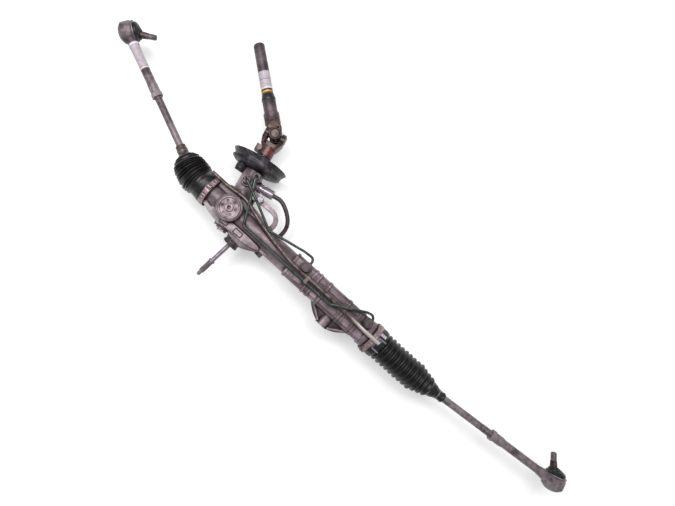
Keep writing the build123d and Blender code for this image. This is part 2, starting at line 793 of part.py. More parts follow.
flatted_end = slip_tube_end + slip_travel + 1
with BuildPart() as sliding_shaft:
    with BuildSketch(upper_joint.offset(slip_shaft_start)):
        Circle(slip_shaft_radius)
        Rectangle(2 * slip_flat, 3 * slip_shaft_radius, mode=Mode.INTERSECT)
    extrude(amount=flatted_end - slip_shaft_start)
    bar(upper_joint.offset(flatted_end), slip_shaft_radius, slip_shaft_end - flatted_end)
    fillet(sliding_shaft.faces().sort_by(Axis(upper_joint.origin, upper_joint.z_dir))[-1].edges(), 4)
    shaft_mouth = upper_joint.offset(slip_shaft_end)
    bar(shaft_mouth, column_bore_radius, -column_bore_depth, Mode.SUBTRACT)
sliding_shaft.part.label = "sliding_shaft"
export_step(sliding_shaft.part, "parts/sliding_shaft.step")

# Dust cover over the end of the valve housing, with a drain snout, and the seal at its neck
cover_seat = valve_neck_radius + seat_gap
neck_seal_end = 122.0
with BuildPart() as dust_cover:
    turned(
        pinion_plane(0),
        (
            (cover_throat, cover_seat),
            (cover_throat, 24),
            (cover_rim - 2, cover_rim_radius - 8),
            (cover_rim, cover_rim_radius),
            (cover_lip - 3, cover_rim_radius + 1.5),
            (cover_lip - 1, cover_lip_radius),
            (cover_lip + 1.5, cover_lip_radius),
            (cover_lip + 1.5, cover_lip_radius - cover_wall),
            (cover_lip - 2, cover_rim_radius + 1.5 - cover_wall),
            (cover_rim + cover_wall, cover_rim_radius - cover_wall),
            (cover_rim + cover_wall - 2, cover_rim_radius - 10),
            (cover_throat + 4, 24),
            (cover_throat + 12, 22),
            (valve_top, 20),
            (valve_top, cover_seat),
        ),
    )
    with BuildSketch(pinion_plane(cover_throat - 12)):
        with Locations((31, 2)):
            Circle(7)
    with BuildSketch(pinion_plane(cover_throat + 3)):
        with Locations((29, 2)):
            Circle(9)
    loft()
dust_cover.part.label = "dust_cover"
export_step(dust_cover.part, "parts/dust_cover.step")

with BuildPart() as neck_seal:
    turned(
        pinion_plane(0),
        (
            (valve_top, input_radius + loose_gap),
            (valve_top, 17.5),
            (valve_top + 5, 17.5),
            (valve_top + 6.5, 15.5),
            (valve_top + 8, 17),
            (valve_top + 12, 17),
            (neck_seal_end, 13.5),
            (neck_seal_end, input_radius + loose_gap),
        ),
    )
neck_seal.part.label = "neck_seal"
export_step(neck_seal.part, "parts/neck_seal.step")

# Tie rods: an inner ball in a socket on the rack, the rod, a jam nut and the rod end
liner_gap = loose_gap
liner_inner = ball_radius + liner_gap
liner_outer = liner_inner + liner_wall
cavity_radius = liner_outer + liner_gap
liner_opening = 52.0  # degrees, half the cone that the liner leaves to the rod
stud_liner_opening = 46.0
liner_back = 40.0
jam_nut_length = 9.0


def shell(centre, inner, outer, opening):
    """Spherical liner about a centre plane, open toward the plane's normal and at its back."""
    reach = 3 * outer
    front = (reach * cos(radians(opening)), reach * sin(radians(opening)))
    back = (-reach * cos(radians(liner_back)), reach * sin(radians(liner_back)))
    side = Plane(origin=centre.origin, x_dir=centre.z_dir, z_dir=centre.x_dir)
    with BuildSketch(side) as band:
        Circle(outer)
        Circle(inner, mode=Mode.SUBTRACT)
        with BuildLine():
            Polyline((0, 0), front, back, close=True)
        make_face(mode=Mode.INTERSECT)
    revolve(band.sketch, axis=Axis(centre.origin, centre.z_dir))


def tie_rod_side(side, ball_x, rod_angle, jam, stud_distance, shank_radius, lean_sign):
    """Every piece outboard of the rack on one side; the rod's angle is its heading in plan."""
    along_rack = facing(ball_x, 0, 0, 180 if side == "left" else 0)
    along_rod = facing(ball_x, 0, 0, rod_angle)

    with BuildPart() as inner_socket:
        bar(along_rack.offset(-socket_back), socket_radius - 3, socket_back)
        bar(along_rack.offset(-socket_back + 6), socket_radius, socket_back + socket_mouth - 6)
        with Locations(along_rack):
            Sphere(cavity_radius, mode=Mode.SUBTRACT)
        mouth_face = inner_socket.faces().sort_by(Axis(along_rack.origin, along_rack.z_dir))[-1]
        chamfer(mouth_face.outer_wire().edges(), 1)
        bar(along_rack.offset(-socket_back), 7 - seat_gap, -16)
    inner_socket.part.label = f"{side}_inner_socket"
    export_step(inner_socket.part, f"parts/{side}_inner_socket.step")

    with BuildPart() as inner_ball_liner:
        shell(along_rod, liner_inner, liner_outer, liner_opening)
    inner_ball_liner.part.label = f"{side}_inner_ball_liner"
    export_step(inner_ball_liner.part, f"parts/{side}_inner_ball_liner.step")

    thread_start = jam - 34
    with BuildPart() as tie_rod:
        with Locations(along_rod):
            Sphere(ball_radius)
        turned(
            along_rod,
            (
                (0, 0),
                (0, 6.3),
                (24, 6.3),
                (30, rod_radius),
                (thread_start, rod_radius),
                (thread_start + 1, rod_radius - 0.5),
                (rod_length, rod_radius - 0.5),
                (rod_length, 0),
            ),
        )
    tie_rod.part.label = f"{side}_tie_rod"
    export_step(tie_rod.part, f"parts/{side}_tie_rod.step")

    with BuildPart() as jam_nut:
        hexagon(along_rod.offset(jam - jam_nut_length), 2 * end_shank_radius + 1.4, jam_nut_length)
        bar(along_rod.offset(jam - jam_nut_length), rod_radius - 0.5 + seat_gap, jam_nut_length, Mode.SUBTRACT)
    jam_nut.part.label = f"{side}_jam_nut"
    export_step(jam_nut.part, f"parts/{side}_jam_nut.step")

    stud_ball = gear.to_local_coords(along_rod.offset(stud_distance).origin)
    head_heading = rod_angle + 180 + lean_sign * head_lean
    along_head = facing(stud_ball.X, stud_ball.Y, 0, head_heading)
    along_stud = facing(stud_ball.X, stud_ball.Y, 0, head_heading - lean_sign * stud_swing)
    stud_liner_inner = stud_ball_radius + liner_gap
    stud_liner_outer = stud_liner_inner + liner_wall
    head_cavity = stud_liner_outer + liner_gap
    with BuildPart() as rod_end:
        turned(
            along_head,
            (
                (-head_below - head_dome, 0),
                (-head_below - head_dome + 0.4, 5),
                (-head_below - head_dome / 2, 10.5),
                (-head_below, head_radius - 6),
                (-head_below + 5, head_radius - 0.5),
                (0, head_radius),
                (head_above - 3, head_radius),
                (head_above, head_radius - 2),
                (head_above, 0),
            ),
        )
        turned(
            along_rod.offset(jam),
            (
                (0, 0),
                (0, end_shank_radius + 0.8),
                (16, end_shank_radius + 0.8),
                (24, shank_radius),
                (stud_distance - jam - 40, shank_radius),
                (stud_distance - jam - head_radius + 3, end_shank_radius + 2.5),
                (stud_distance - jam, end_shank_radius + 2.5),
                (stud_distance - jam, 0),
            ),
        )
        with Locations(along_head):
            Sphere(head_cavity, mode=Mode.SUBTRACT)
        bar(along_head.offset(head_above), head_radius - 1, 30, Mode.SUBTRACT)
        turned(
            along_head,
            ((3, 0), (3, mouth_radius), (6.4, mouth_radius), (12, mouth_radius + 3.8), (12, 0)),
            Mode.SUBTRACT,
        )
        bar(along_rod.offset(jam), rod_radius - 0.5 + seat_gap, rod_length - jam + 3, Mode.SUBTRACT)
    rod_end.part.label = f"{side}_rod_end"
    export_step(rod_end.part, f"parts/{side}_rod_end.step")

    with BuildPart() as stud_liner:
        shell(along_stud, stud_liner_inner, stud_liner_outer, stud_liner_opening)
    stud_liner.part.label = f"{side}_stud_liner"
    export_step(stud_liner.part, f"parts/{side}_stud_liner.step")

    with BuildPart() as ball_stud:
        with Locations(along_stud):
            Sphere(stud_ball_radius)
        turned(
            along_stud,
            (
                (0, 0),
                (0, stud_neck_radius),
                (12, stud_neck_radius),
                (22, stud_taper_radius),
                (40, stud_taper_radius - 1.4),
                (41, stud_thread_radius),
                (stud_length - 1, stud_thread_radius),
                (stud_length, stud_thread_radius - 1),
                (stud_length, 0),
            ),
        )
    ball_stud.part.label = f"{side}_ball_stud"
    export_step(ball_stud.part, f"parts/{side}_ball_stud.step")

    boot_small = 8.8
    with BuildPart() as stud_boot:
        with BuildSketch(along_head.offset(head_above + 0.1)):
            Circle(head_radius - 2)
        with BuildSketch(Plane(origin=along_stud.offset(17).origin, x_dir=along_head.x_dir, z_dir=along_stud.z_dir)):
            Circle(boot_small + 4)
        with BuildSketch(Plane(origin=along_stud.offset(24).origin, x_dir=along_head.x_dir, z_dir=along_stud.z_dir)):
            Circle(boot_small)
        loft(ruled=True)
        bar(along_stud, stud_taper_radius + loose_gap, 30, Mode.SUBTRACT)
        turned(along_stud, ((8, 0), (8, 14), (15, 11), (18, 0)), Mode.SUBTRACT)
    stud_boot.part.label = f"{side}_stud_boot"
    export_step(stud_boot.part, f"parts/{side}_stud_boot.step")


tie_rod_side("left", left_ball_x, left_rod_angle, left_jam, left_stud_distance, left_shank_radius, 1)
tie_rod_side("right", right_ball_x, right_rod_angle, right_jam, right_stud_distance, right_shank_radius, -1)

# Boots: folds stacked along a path that turns from the rack to the rod about the inner ball
boot_bore_gap = 0.2
cuff_gap = 0.5
clip_length = 6.0
fold_depth = 5.0
boss_near = 15.0  # the breather bosses and tube, measured back from the outer end of a cuff
boss_far = 3.0
vent_stop = 9.0


def fold_radii(ridge, valley, taper_folds):
    """Radii from the cuff to the neck: ridges and valleys in turn, tapering over the last folds."""
    radii = [valley]
    for k in range(boot_folds):
        shrink = max(0, k + 1 - boot_folds + taper_folds) / taper_folds
        radii.append(ridge - (ridge - boot_neck_radius - 3) * shrink)
        radii.append(valley - (valley - boot_neck_radius) * shrink)
    return radii


def vent_boss(cuff_x, outward, spot):
    """Boss on a cuff, with a bore that takes the end of the breather tube at a (y, z) spot."""
    lean = atan2(spot[1], spot[0])
    foot_radius = boot_cuff_radius - 1.5
    foot = (foot_radius * cos(lean), foot_radius * sin(lean))
    near_end = across(cuff_x - outward * boss_near)
    with BuildSketch(near_end) as boss:
        with Locations(spot):
            Circle(vent_radius + 1.8)
        with BuildLine():
            Line(foot, spot)
        trace(line_width=2 * vent_radius)
    extrude(boss.sketch, amount=outward * (boss_near - boss_far))
    with BuildSketch(near_end) as bore:
        with Locations(spot):
            Circle(vent_radius + seat_gap)
    extrude(bore.sketch, amount=outward * (boss_near - vent_stop), mode=Mode.SUBTRACT)


def boot(name, cuff_x, cuff_length, ball_x, rod_angle, turn_reach, neck_distance, ridge, folds, vent):
    """Cuff on the housing's snout, folded middle and neck on the rod."""
    outward = 1 if ball_x > cuff_x else -1
    heading = 90 - 90 * outward
    cuff_plane = facing(cuff_x, 0, 0, heading)
    neck_plane = facing(ball_x, 0, 0, rod_angle).offset(neck_distance)
    with BuildLine() as route:
        FilletPolyline(
            cuff_plane.origin,
            facing(ball_x, 0, 0, 0).origin,
            neck_plane.origin,
            radius=turn_reach / tan(radians(abs((rod_angle - heading + 180) % 360 - 180)) / 2),
        )
    outside, inside = [], []
    radii = fold_radii(ridge, ridge - fold_depth, folds)
    for k, radius in enumerate(radii):
        share = k / (len(radii) - 1)
        spot = Plane(origin=route.line @ share, x_dir=(0, 0, 1), z_dir=route.line % share)
        with BuildSketch(spot) as fold:
            Circle(radius)
        outside.append(fold.sketch)
        if k % 2 == 0:
            with BuildSketch(spot) as hollow_fold:
                Circle(radius - boot_wall)
            inside.append(hollow_fold.sketch)
    with BuildPart() as hollow:
        loft(inside, ruled=True)
        bar(cuff_plane.offset(-3), snout_radius + boot_bore_gap, -cuff_length)
        bar(cuff_plane, radii[0] - boot_wall, -4)
        bar(neck_plane.offset(-1), rod_radius + boot_bore_gap, clip_length + 10)
    with BuildPart() as boot_part:
        loft(outside, ruled=True)
        bar(cuff_plane, boot_cuff_radius, -cuff_length)
        vent_boss(cuff_x, outward, vent)
        bar(neck_plane, boot_neck_radius, clip_length + 6)
        add(hollow.part, mode=Mode.SUBTRACT)
    boot_part.part.label = name
    export_step(boot_part.part, f"parts/{name}.step")


left_cuff_x = left_end - 3
right_cuff_x = right_end + 3
left_cuff = left_step - left_cuff_x - cuff_gap
right_cuff = right_cuff_x - box_end - end_ring_width - cuff_gap
left_vent = (29.0, 22.3)
right_vent = (0.0, 36.6)
left_neck = 46.0
right_neck = 50.0
boot("left_boot", left_cuff_x, left_cuff, left_ball_x, left_rod_angle, 17.5, left_neck, 33, 4, left_vent)
boot("right_boot", right_cuff_x, right_cuff, right_ball_x, right_rod_angle, 50, right_neck, 28.6, 3, right_vent)

# Clamps on the boots' cuffs and spring clips on their necks
for side, clamp_x in (
    ("left", left_step - clamp_width - cuff_gap - 1),
    ("right", box_end + end_ring_width + cuff_gap + 1),
):
    with BuildPart() as boot_clamp:
        ring(across(clamp_x), boot_cuff_radius + 0.1 + clamp_thickness, boot_cuff_radius + 0.1, clamp_width)
        with BuildSketch(across(clamp_x + 1)):
            with Locations((0, -boot_cuff_radius - 4.5)):
                Rectangle(16, 6.6)
        extrude(amount=clamp_width - 2)
    boot_clamp.part.label = f"{side}_boot_clamp"
    export_step(boot_clamp.part, f"parts/{side}_boot_clamp.step")

for side, ball_x, rod_angle, neck in (
    ("left", left_ball_x, left_rod_angle, left_neck),
    ("right", right_ball_x, right_rod_angle, right_neck),
):
    with BuildPart() as boot_clip:
        neck_plane = facing(ball_x, 0, 0, rod_angle).offset(neck + 4)
        ring(neck_plane, boot_neck_radius + 1.1, boot_neck_radius + 0.1, clip_length)
    boot_clip.part.label = f"{side}_boot_clip"
    export_step(boot_clip.part, f"parts/{side}_boot_clip.step")


# Pipes: straight runs joined by arcs
def pipe(points, radius, bend):
    """Round pipe along a route of points of the gear."""
    with BuildLine(gear) as route:
        FilletPolyline(*points, radius=bend)
    with BuildSketch(Plane(origin=route.line @ 0, z_dir=route.line % 0)) as section:
        Circle(radius)
    sweep(section.sketch, path=route.line)


nut_height = 8.0
nut_top = port_top + nut_height
low_line = 28.2
high_line = 38.0
line_b_reach = -7.5
union_entry = port_reach + union_radius - 2
line_a = (
    (*port_one, port_top - 6),
    (*port_one, high_line),
    (33, 44, high_line),
    (88, 18, 31),
    (163, 34, 31),
    (left_port_x + 2, 36, 31),
    (left_port_x + 2, union_entry, 31),
)
line_b = (
    (*port_two, port_top - 6),
    (*port_two, 31),
    (25, 34, 31),
    (46, line_b_reach, low_line),
    (238, line_b_reach, low_line),
    (264, line_b_reach + 1, high_line),
    (300, 14, high_line),
    (right_port_x - 14, 29, 31),
    (right_port_x + 3, 34, 31),
    (right_port_x + 3, union_entry, 31),
)
for name, points in (("transfer_line_a", line_a), ("transfer_line_b", line_b)):
    with BuildPart() as transfer_line:
        pipe(points, line_radius, line_bend)
    transfer_line.part.label = name
    export_step(transfer_line.part, f"parts/{name}.step")

with BuildPart() as line_union_nuts:
    for port in (port_one, port_two):
        hexagon(raised(*port, port_top), 13, nut_height)
        bar(raised(*port, port_top), line_radius + seat_gap, nut_height, Mode.SUBTRACT)
line_union_nuts.part.label = "line_union_nuts"
export_step(line_union_nuts.part, "parts/line_union_nuts.step")

with BuildPart() as cylinder_unions:
    for x in (left_port_x, right_port_x):
        bar(raised(x, port_reach, port_top_height), union_radius, union_height)
        hexagon(raised(x, port_reach, port_top_height + union_height), 12, 3.5)
    for points in (line_a, line_b):
        bar(facing(*points[-1], 90), line_radius + seat_gap, 8, Mode.SUBTRACT)
cylinder_unions.part.label = "cylinder_unions"
export_step(cylinder_unions.part, "parts/cylinder_unions.step")

# Breather tube from cuff to cuff and the clip that holds it with the long transfer line
breather_y = 2.0
breather_z = 30.0
with BuildPart() as vent_tube:
    pipe(
        (
            (left_cuff_x + vent_stop, *left_vent),
            (-30, *left_vent),
            (14, 33.5, 22.5),
            (62, 20, 22),
            (112, 9, 28.5),
            (160, breather_y, breather_z),
            (300, breather_y, breather_z),
            (346, *right_vent),
            (right_cuff_x - vent_stop, *right_vent),
        ),
        vent_radius,
        40,
    )
vent_tube.part.label = "vent_tube"
export_step(vent_tube.part, "parts/vent_tube.step")

clip_x = 198.0
clip_height = 12.6
with BuildPart() as pipe_clip:
    with BuildSketch(across(clip_x)):
        with Locations((-3, box_top + clip_height / 2)):
            RectangleRounded(20, clip_height, 3)
        with Locations((line_b_reach, low_line)):
            Circle(line_radius + 0.1, mode=Mode.SUBTRACT)
        with Locations((breather_y, breather_z)):
            Circle(vent_radius + 0.1, mode=Mode.SUBTRACT)
    extrude(amount=6.5)
pipe_clip.part.label = "pipe_clip"
export_step(pipe_clip.part, "parts/pipe_clip.step")

# Pressure hose: a crimped fitting in the valve housing, the hose and its coupling under the tube
fitting_start = 18.0
fitting_end = 55.0
with BuildPart() as hose_fitting:
    turned(
        pinion_side(fitting_distance),
        (
            (fitting_start, hose_radius),
            (fitting_start, 6 - seat_gap),
            (24.2, 6 - seat_gap),
            (24.2, 9.5),
            (30, 9.5),
            (31, 8),
            (34, 8),
            (35, 9.3),
            (fitting_end - 2, 9.3),
            (fitting_end, 8),
            (fitting_end, hose_radius + 0.1),
            (fitting_start + 8, hose_radius + 0.1),
        ),
    )
hose_fitting.part.label = "hose_fitting"
export_step(hose_fitting.part, "parts/hose_fitting.step")

hose_start = gear.to_local_coords(pinion_side(fitting_distance).offset(fitting_start + 8).origin)
hose_turn = gear.to_local_coords(pinion_side(fitting_distance).offset(fitting_end + 21).origin)
hose_low = -32.0
with BuildPart() as pressure_hose:
    pipe(
        (
            (hose_start.X, hose_start.Y, pinion_z),
            (hose_turn.X, hose_turn.Y, pinion_z),
            (92, 66, -18),
            (107, 46, -24),
            (102, 18, hose_low),
            (98, -14, hose_low),
        ),
        hose_radius,
        14,
    )
pressure_hose.part.label = "pressure_hose"
export_step(pressure_hose.part, "parts/pressure_hose.step")

hose_end = raised(98, -14, hose_low)
with BuildPart() as hose_coupling:
    coupling = Plane(origin=hose_end.origin, x_dir=(0, 0, 1), z_dir=(-4, -32, 0))
    hexagon(coupling.offset(-6), 15, 24)
    bar(coupling.offset(-6), hose_radius + 0.1, 6, Mode.SUBTRACT)
    bar(coupling, 5.0, 18, Mode.SUBTRACT)
hose_coupling.part.label = "hose_coupling"
export_step(hose_coupling.part, "parts/hose_coupling.step")

# Near-side mount: a rubber bush against the lug and its long bolt
with BuildPart() as mount_bush:
    bar(mount_axis, mount_bush_radius, mount_bush_length)
    chamfer(mount_bush.edges().filter_by(GeomType.CIRCLE), 2)
    bar(mount_axis, mount_bolt_radius + seat_gap, mount_bush_length, Mode.SUBTRACT)
mount_bush.part.label = "mount_bush"
export_step(mount_bush.part, "parts/mount_bush.step")

with BuildPart() as mount_bolt:
    hexagon(mount_axis.offset(-lug_seat), 10, -6.5)
    turned(
        mount_axis,
        (
            (-lug_seat - 1, 0),
            (-lug_seat - 1, mount_bolt_radius),
            (mount_shoulder, mount_bolt_radius),
            (mount_shoulder, 7),
            (mount_shoulder + 4, 7),
            (mount_shoulder + 4, mount_thread_radius),
            (mount_bolt_length - 10, mount_thread_radius),
            (mount_bolt_length - 9, mount_bolt_radius - 0.6),
            (mount_bolt_length - 2, mount_bolt_radius - 0.6),
            (mount_bolt_length, 2.5),
            (mount_bolt_length, 0),
        ),
    )
mount_bolt.part.label = "mount_bolt"
export_step(mount_bolt.part, "parts/mount_bolt.step")

with BuildPart() as far_mount_sleeve:
    ring(
        facing(far_mount_x, -far_mount_reach, 0, 90),
        far_sleeve_radius,
        far_bore_radius,
        far_sleeve_length,
    )
far_mount_sleeve.part.label = "far_mount_sleeve"
export_step(far_mount_sleeve.part, "parts/far_mount_sleeve.step")
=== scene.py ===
import math
import bmesh
import bpy
import numpy as np
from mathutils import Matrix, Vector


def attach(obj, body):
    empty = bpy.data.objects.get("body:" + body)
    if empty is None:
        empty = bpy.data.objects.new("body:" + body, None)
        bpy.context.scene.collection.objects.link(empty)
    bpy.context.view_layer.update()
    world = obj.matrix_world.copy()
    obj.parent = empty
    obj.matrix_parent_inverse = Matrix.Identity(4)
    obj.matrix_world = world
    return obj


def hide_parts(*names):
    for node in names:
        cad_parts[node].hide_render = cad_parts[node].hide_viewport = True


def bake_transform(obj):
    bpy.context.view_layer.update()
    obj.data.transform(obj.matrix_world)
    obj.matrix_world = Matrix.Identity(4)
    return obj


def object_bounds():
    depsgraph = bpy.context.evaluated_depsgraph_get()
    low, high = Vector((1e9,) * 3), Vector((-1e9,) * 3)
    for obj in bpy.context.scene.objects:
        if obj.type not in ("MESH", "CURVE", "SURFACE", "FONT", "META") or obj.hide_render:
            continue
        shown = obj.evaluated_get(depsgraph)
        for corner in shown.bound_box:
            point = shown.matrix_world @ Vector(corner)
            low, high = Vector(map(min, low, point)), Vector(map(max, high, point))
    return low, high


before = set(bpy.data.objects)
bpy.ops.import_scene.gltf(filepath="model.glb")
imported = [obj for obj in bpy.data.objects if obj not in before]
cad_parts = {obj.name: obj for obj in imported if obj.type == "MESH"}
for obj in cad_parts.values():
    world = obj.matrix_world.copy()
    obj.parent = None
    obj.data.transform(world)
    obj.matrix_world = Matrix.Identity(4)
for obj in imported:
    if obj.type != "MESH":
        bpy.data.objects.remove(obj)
box_at_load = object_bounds()

# Camera. It hangs over the gear and looks straight down on it, turned so that the rack runs from the
# upper left to the lower right. Its film is wide, so pieces that stand high lean outward a little.
camera_height = 0.90
camera_foot = (-0.092, 0.020)
view_width = 1.3028  # what the film's width takes in, at the height of the rack's axis
view_middle = (-0.069, 0.125)
view_turn = math.radians(42.36)
camera = bpy.data.objects.new("camera", bpy.data.cameras.new("camera"))
bpy.context.collection.objects.link(camera)
camera.location = (*camera_foot, camera_height)
camera.rotation_euler = (0, 0, view_turn)
camera.data.sensor_fit = "HORIZONTAL"
camera.data.sensor_width = 36
camera.data.lens = 36 * camera_height / view_width
film_right = np.array([math.cos(view_turn), math.sin(view_turn)])
film_up = np.array([-math.sin(view_turn), math.cos(view_turn)])
film_offset = np.subtract(view_middle, camera_foot)
camera.data.shift_x = float(film_offset @ film_right) / view_width
camera.data.shift_y = float(film_offset @ film_up) / view_width
camera.data.clip_start = 0.01
camera.data.clip_end = 50
bpy.context.scene.camera = camera
bpy.context.scene.view_settings.view_transform = "Standard"


# Studio: a white floor under the lowest edge of the dust cover, one large soft lamp from the film's
# upper left, another behind, a weak fill from the right and an even pale sky. The floor shows white
# to the camera and in reflections, and gives other rays a mid grey, so it adds no light to the gear.
def linear(hex_colour):
    """An sRGB hex colour as linear red, green, blue and alpha 1, by the sRGB curve."""
    srgb = np.array([int(hex_colour[k : k + 2], 16) for k in (1, 3, 5)]) / 255
    flat = np.where(srgb <= 0.04045, srgb / 12.92, ((srgb + 0.055) / 1.055) ** 2.4)
    return (*(float(c) for c in flat), 1.0)


def add(tree, kind, values=(), links=(), **settings):
    """Adds a node: settings are its own, values go to its sockets and links join other nodes to them."""
    made = tree.nodes.new(kind)
    for setting, value in settings.items():
        setattr(made, setting, value)
    for socket, value in dict(values).items():
        made.inputs[socket].default_value = value
    for socket, source in dict(links).items():
        tree.links.new(source, made.inputs[socket])
    return made


floor_height = box_at_load[0][2] - 0.0005
bpy.ops.mesh.primitive_plane_add(size=12, location=(0, 0, floor_height))
floor = bpy.context.object
floor.name = "studio_floor"
paper = bpy.data.materials.new("white_studio_paper")
paper.use_nodes = True
paper_tree = paper.node_tree
paper_tree.nodes.clear()
paper_rays = add(paper_tree, "ShaderNodeLightPath")
paper_seen = add(paper_tree, "ShaderNodeBsdfDiffuse", {"Color": linear("#f4f4f4"), "Roughness": 1.0})
paper_bounce = add(paper_tree, "ShaderNodeBsdfDiffuse", {"Color": linear("#8c8c8c"), "Roughness": 1.0})
paper_glow = add(paper_tree, "ShaderNodeEmission", {"Color": (1, 1, 1, 1), "Strength": 0.36})
paper_lit = add(paper_tree, "ShaderNodeAddShader", {}, {0: paper_seen.outputs[0], 1: paper_glow.outputs[0]})
paper_seen_by = add(
    paper_tree,
    "ShaderNodeMath",
    {},
    {0: paper_rays.outputs["Is Camera Ray"], 1: paper_rays.outputs["Is Glossy Ray"]},
    operation="MAXIMUM",
)
paper_mix = add(
    paper_tree,
    "ShaderNodeMixShader",
    {},
    {0: paper_seen_by.outputs[0], 1: paper_bounce.outputs[0], 2: paper_lit.outputs[0]},
)
add(paper_tree, "ShaderNodeOutputMaterial", {}, {"Surface": paper_mix.outputs[0]})
floor.data.materials.append(paper)

sky = bpy.data.worlds.new("pale_sky")
bpy.context.scene.world = sky
sky.use_nodes = True
sky_tree = sky.node_tree
sky_tree.nodes.clear()
sky_rays = add(sky_tree, "ShaderNodeLightPath")
sky_lamp = add(sky_tree, "ShaderNodeBackground", {"Color": (1, 1, 1, 1), "Strength": 0.34})
sky_white = add(sky_tree, "ShaderNodeBackground", {"Color": (1, 1, 1, 1), "Strength": 1.0})
sky_mix = add(
    sky_tree,
    "ShaderNodeMixShader",
    {},
    {0: sky_rays.outputs["Is Camera Ray"], 1: sky_lamp.outputs[0], 2: sky_white.outputs[0]},
)
add(sky_tree, "ShaderNodeOutputWorld", {}, {"Surface": sky_mix.outputs[0]})

for lamp_name, across_film, up_film, lamp_height, lamp_size, lamp_power in (
    ("key_lamp", -0.55, 0.45, 1.5, 0.7, 14.5),
    ("far_lamp", 0.30, 0.40, 1.5, 0.7, 12.5),
    ("fill_lamp", 0.9, -0.7, 1.3, 1.2, 3.0),
):
    lamp_data = bpy.data.lights.new(lamp_name, "AREA")
    lamp_data.size = lamp_size
    lamp_data.energy = lamp_power
    lamp = bpy.data.objects.new(lamp_name, lamp_data)
    bpy.context.collection.objects.link(lamp)
    lamp_plan = np.array(view_middle) + film_right * across_film + film_up * up_film
    lamp.location = (*lamp_plan, lamp_height)
    aim = np.array([*view_middle, 0.0]) - np.array(lamp.location)
    lamp_tip = math.atan2(-math.hypot(aim[0], aim[1]), -aim[2])
    lamp.rotation_euler = (0, lamp_tip, math.atan2(aim[1], aim[0]) + math.pi)


# Housing and valve housing: sand-cast aluminium, never machined outside, gone purplish brown with oil
# and road dirt. Raised faces are rubbed paler, corners and pockets are darkened by painted shade with
# some grime, and the arm that reaches over to the valve housing has a painted highlight at its end.
def per_mm(size):
    """Texture scale whose features are about this many millimetres across, in metre coordinates."""
    return 1000 / size


def start_finish(name):
    """An empty material: (material, tree, shader, object coordinates)."""
    made = bpy.data.materials.new(name)
    made.use_nodes = True
    made.node_tree.nodes.clear()
    shader = add(made.node_tree, "ShaderNodeBsdfPrincipled")
    add(made.node_tree, "ShaderNodeOutputMaterial", {}, {"Surface": shader.outputs[0]})
    where = add(made.node_tree, "ShaderNodeTexCoord").outputs["Object"]
    return made, made.node_tree, shader, where


def mottle(tree, where, size, low, high, detail=4.0):
    """Noise of a feature size in millimetres, spread so that low to high becomes 0 to 1."""
    settings = {"Scale": per_mm(size), "Detail": detail, "Roughness": 0.55}
    noise = add(tree, "ShaderNodeTexNoise", settings, {"Vector": where})
    spread = {"From Min": low, "From Max": high}
    return add(tree, "ShaderNodeMapRange", spread, {"Value": noise.outputs["Fac"]}).outputs[0]


def blend_colours(tree, amount, first, second, most=1.0):
    """Mixes two colours or colour sockets by an amount from 0 to 1, scaled to the most of the second."""
    if most < 1:
        amount = add(tree, "ShaderNodeMath", {1: most}, {0: amount}, operation="MULTIPLY").outputs[0]
    mix = add(tree, "ShaderNodeMix", data_type="RGBA", clamp_factor=True)
    tree.links.new(amount, mix.inputs["Factor"])
    for socket, colour in ((6, first), (7, second)):
        if isinstance(colour, str):
            mix.inputs[socket].default_value = linear(colour)
        else:
            tree.links.new(colour, mix.inputs[socket])
    return mix.outputs[2]


def corner_shade_and_grime(tree, reach, clean, packed, own=True):
    """Painted shade from 0 to 1, standing also for grime, where surfaces within a reach in millimetres shade
    each other: those of the same piece alone, or of any."""
    shade = add(tree, "ShaderNodeAmbientOcclusion", {"Distance": reach / 1000}, samples=8, only_local=own)
    shade_spread = {"From Min": clean, "From Max": packed}
    return add(tree, "ShaderNodeMapRange", shade_spread, {"Value": shade.outputs["AO"]}).outputs[0]


def raise_bumps(tree, shader, *layers):
    """Bump layers of (height socket, depth in millimetres, strength), stacked on the shader's normal."""
    normal = None
    for height, depth, strength in layers:
        bump = add(tree, "ShaderNodeBump", {"Distance": depth / 1000, "Strength": strength}, {"Height": height})
        if normal is not None:
            tree.links.new(normal, bump.inputs["Normal"])
        normal = bump.outputs[0]
    tree.links.new(normal, shader.inputs["Normal"])


def round_edges(tree, shader, radius_mm):
    """Shades sharp edges as if rounded to a radius, under whatever bumps follow."""
    rounded = add(tree, "ShaderNodeBevel", {"Radius": radius_mm / 1000}, samples=4)
    first = next(link.from_node for link in tree.links if link.to_socket == shader.inputs["Normal"])
    while first.inputs["Normal"].is_linked:
        first = first.inputs["Normal"].links[0].from_node
    tree.links.new(rounded.outputs[0], first.inputs["Normal"])


def vary_roughness(tree, shader, amount, low, high):
    """Roughness from low to high as an amount goes from 0 to 1."""
    spread = add(tree, "ShaderNodeMapRange", {"To Min": low, "To Max": high}, {"Value": amount})
    tree.links.new(spread.outputs[0], shader.inputs["Roughness"])


def paint_nodes(material, *names):
    """Gives CAD nodes a material."""
    for name in names:
        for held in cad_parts[name].material_slots:
            held.link = "OBJECT"
            held.material = material


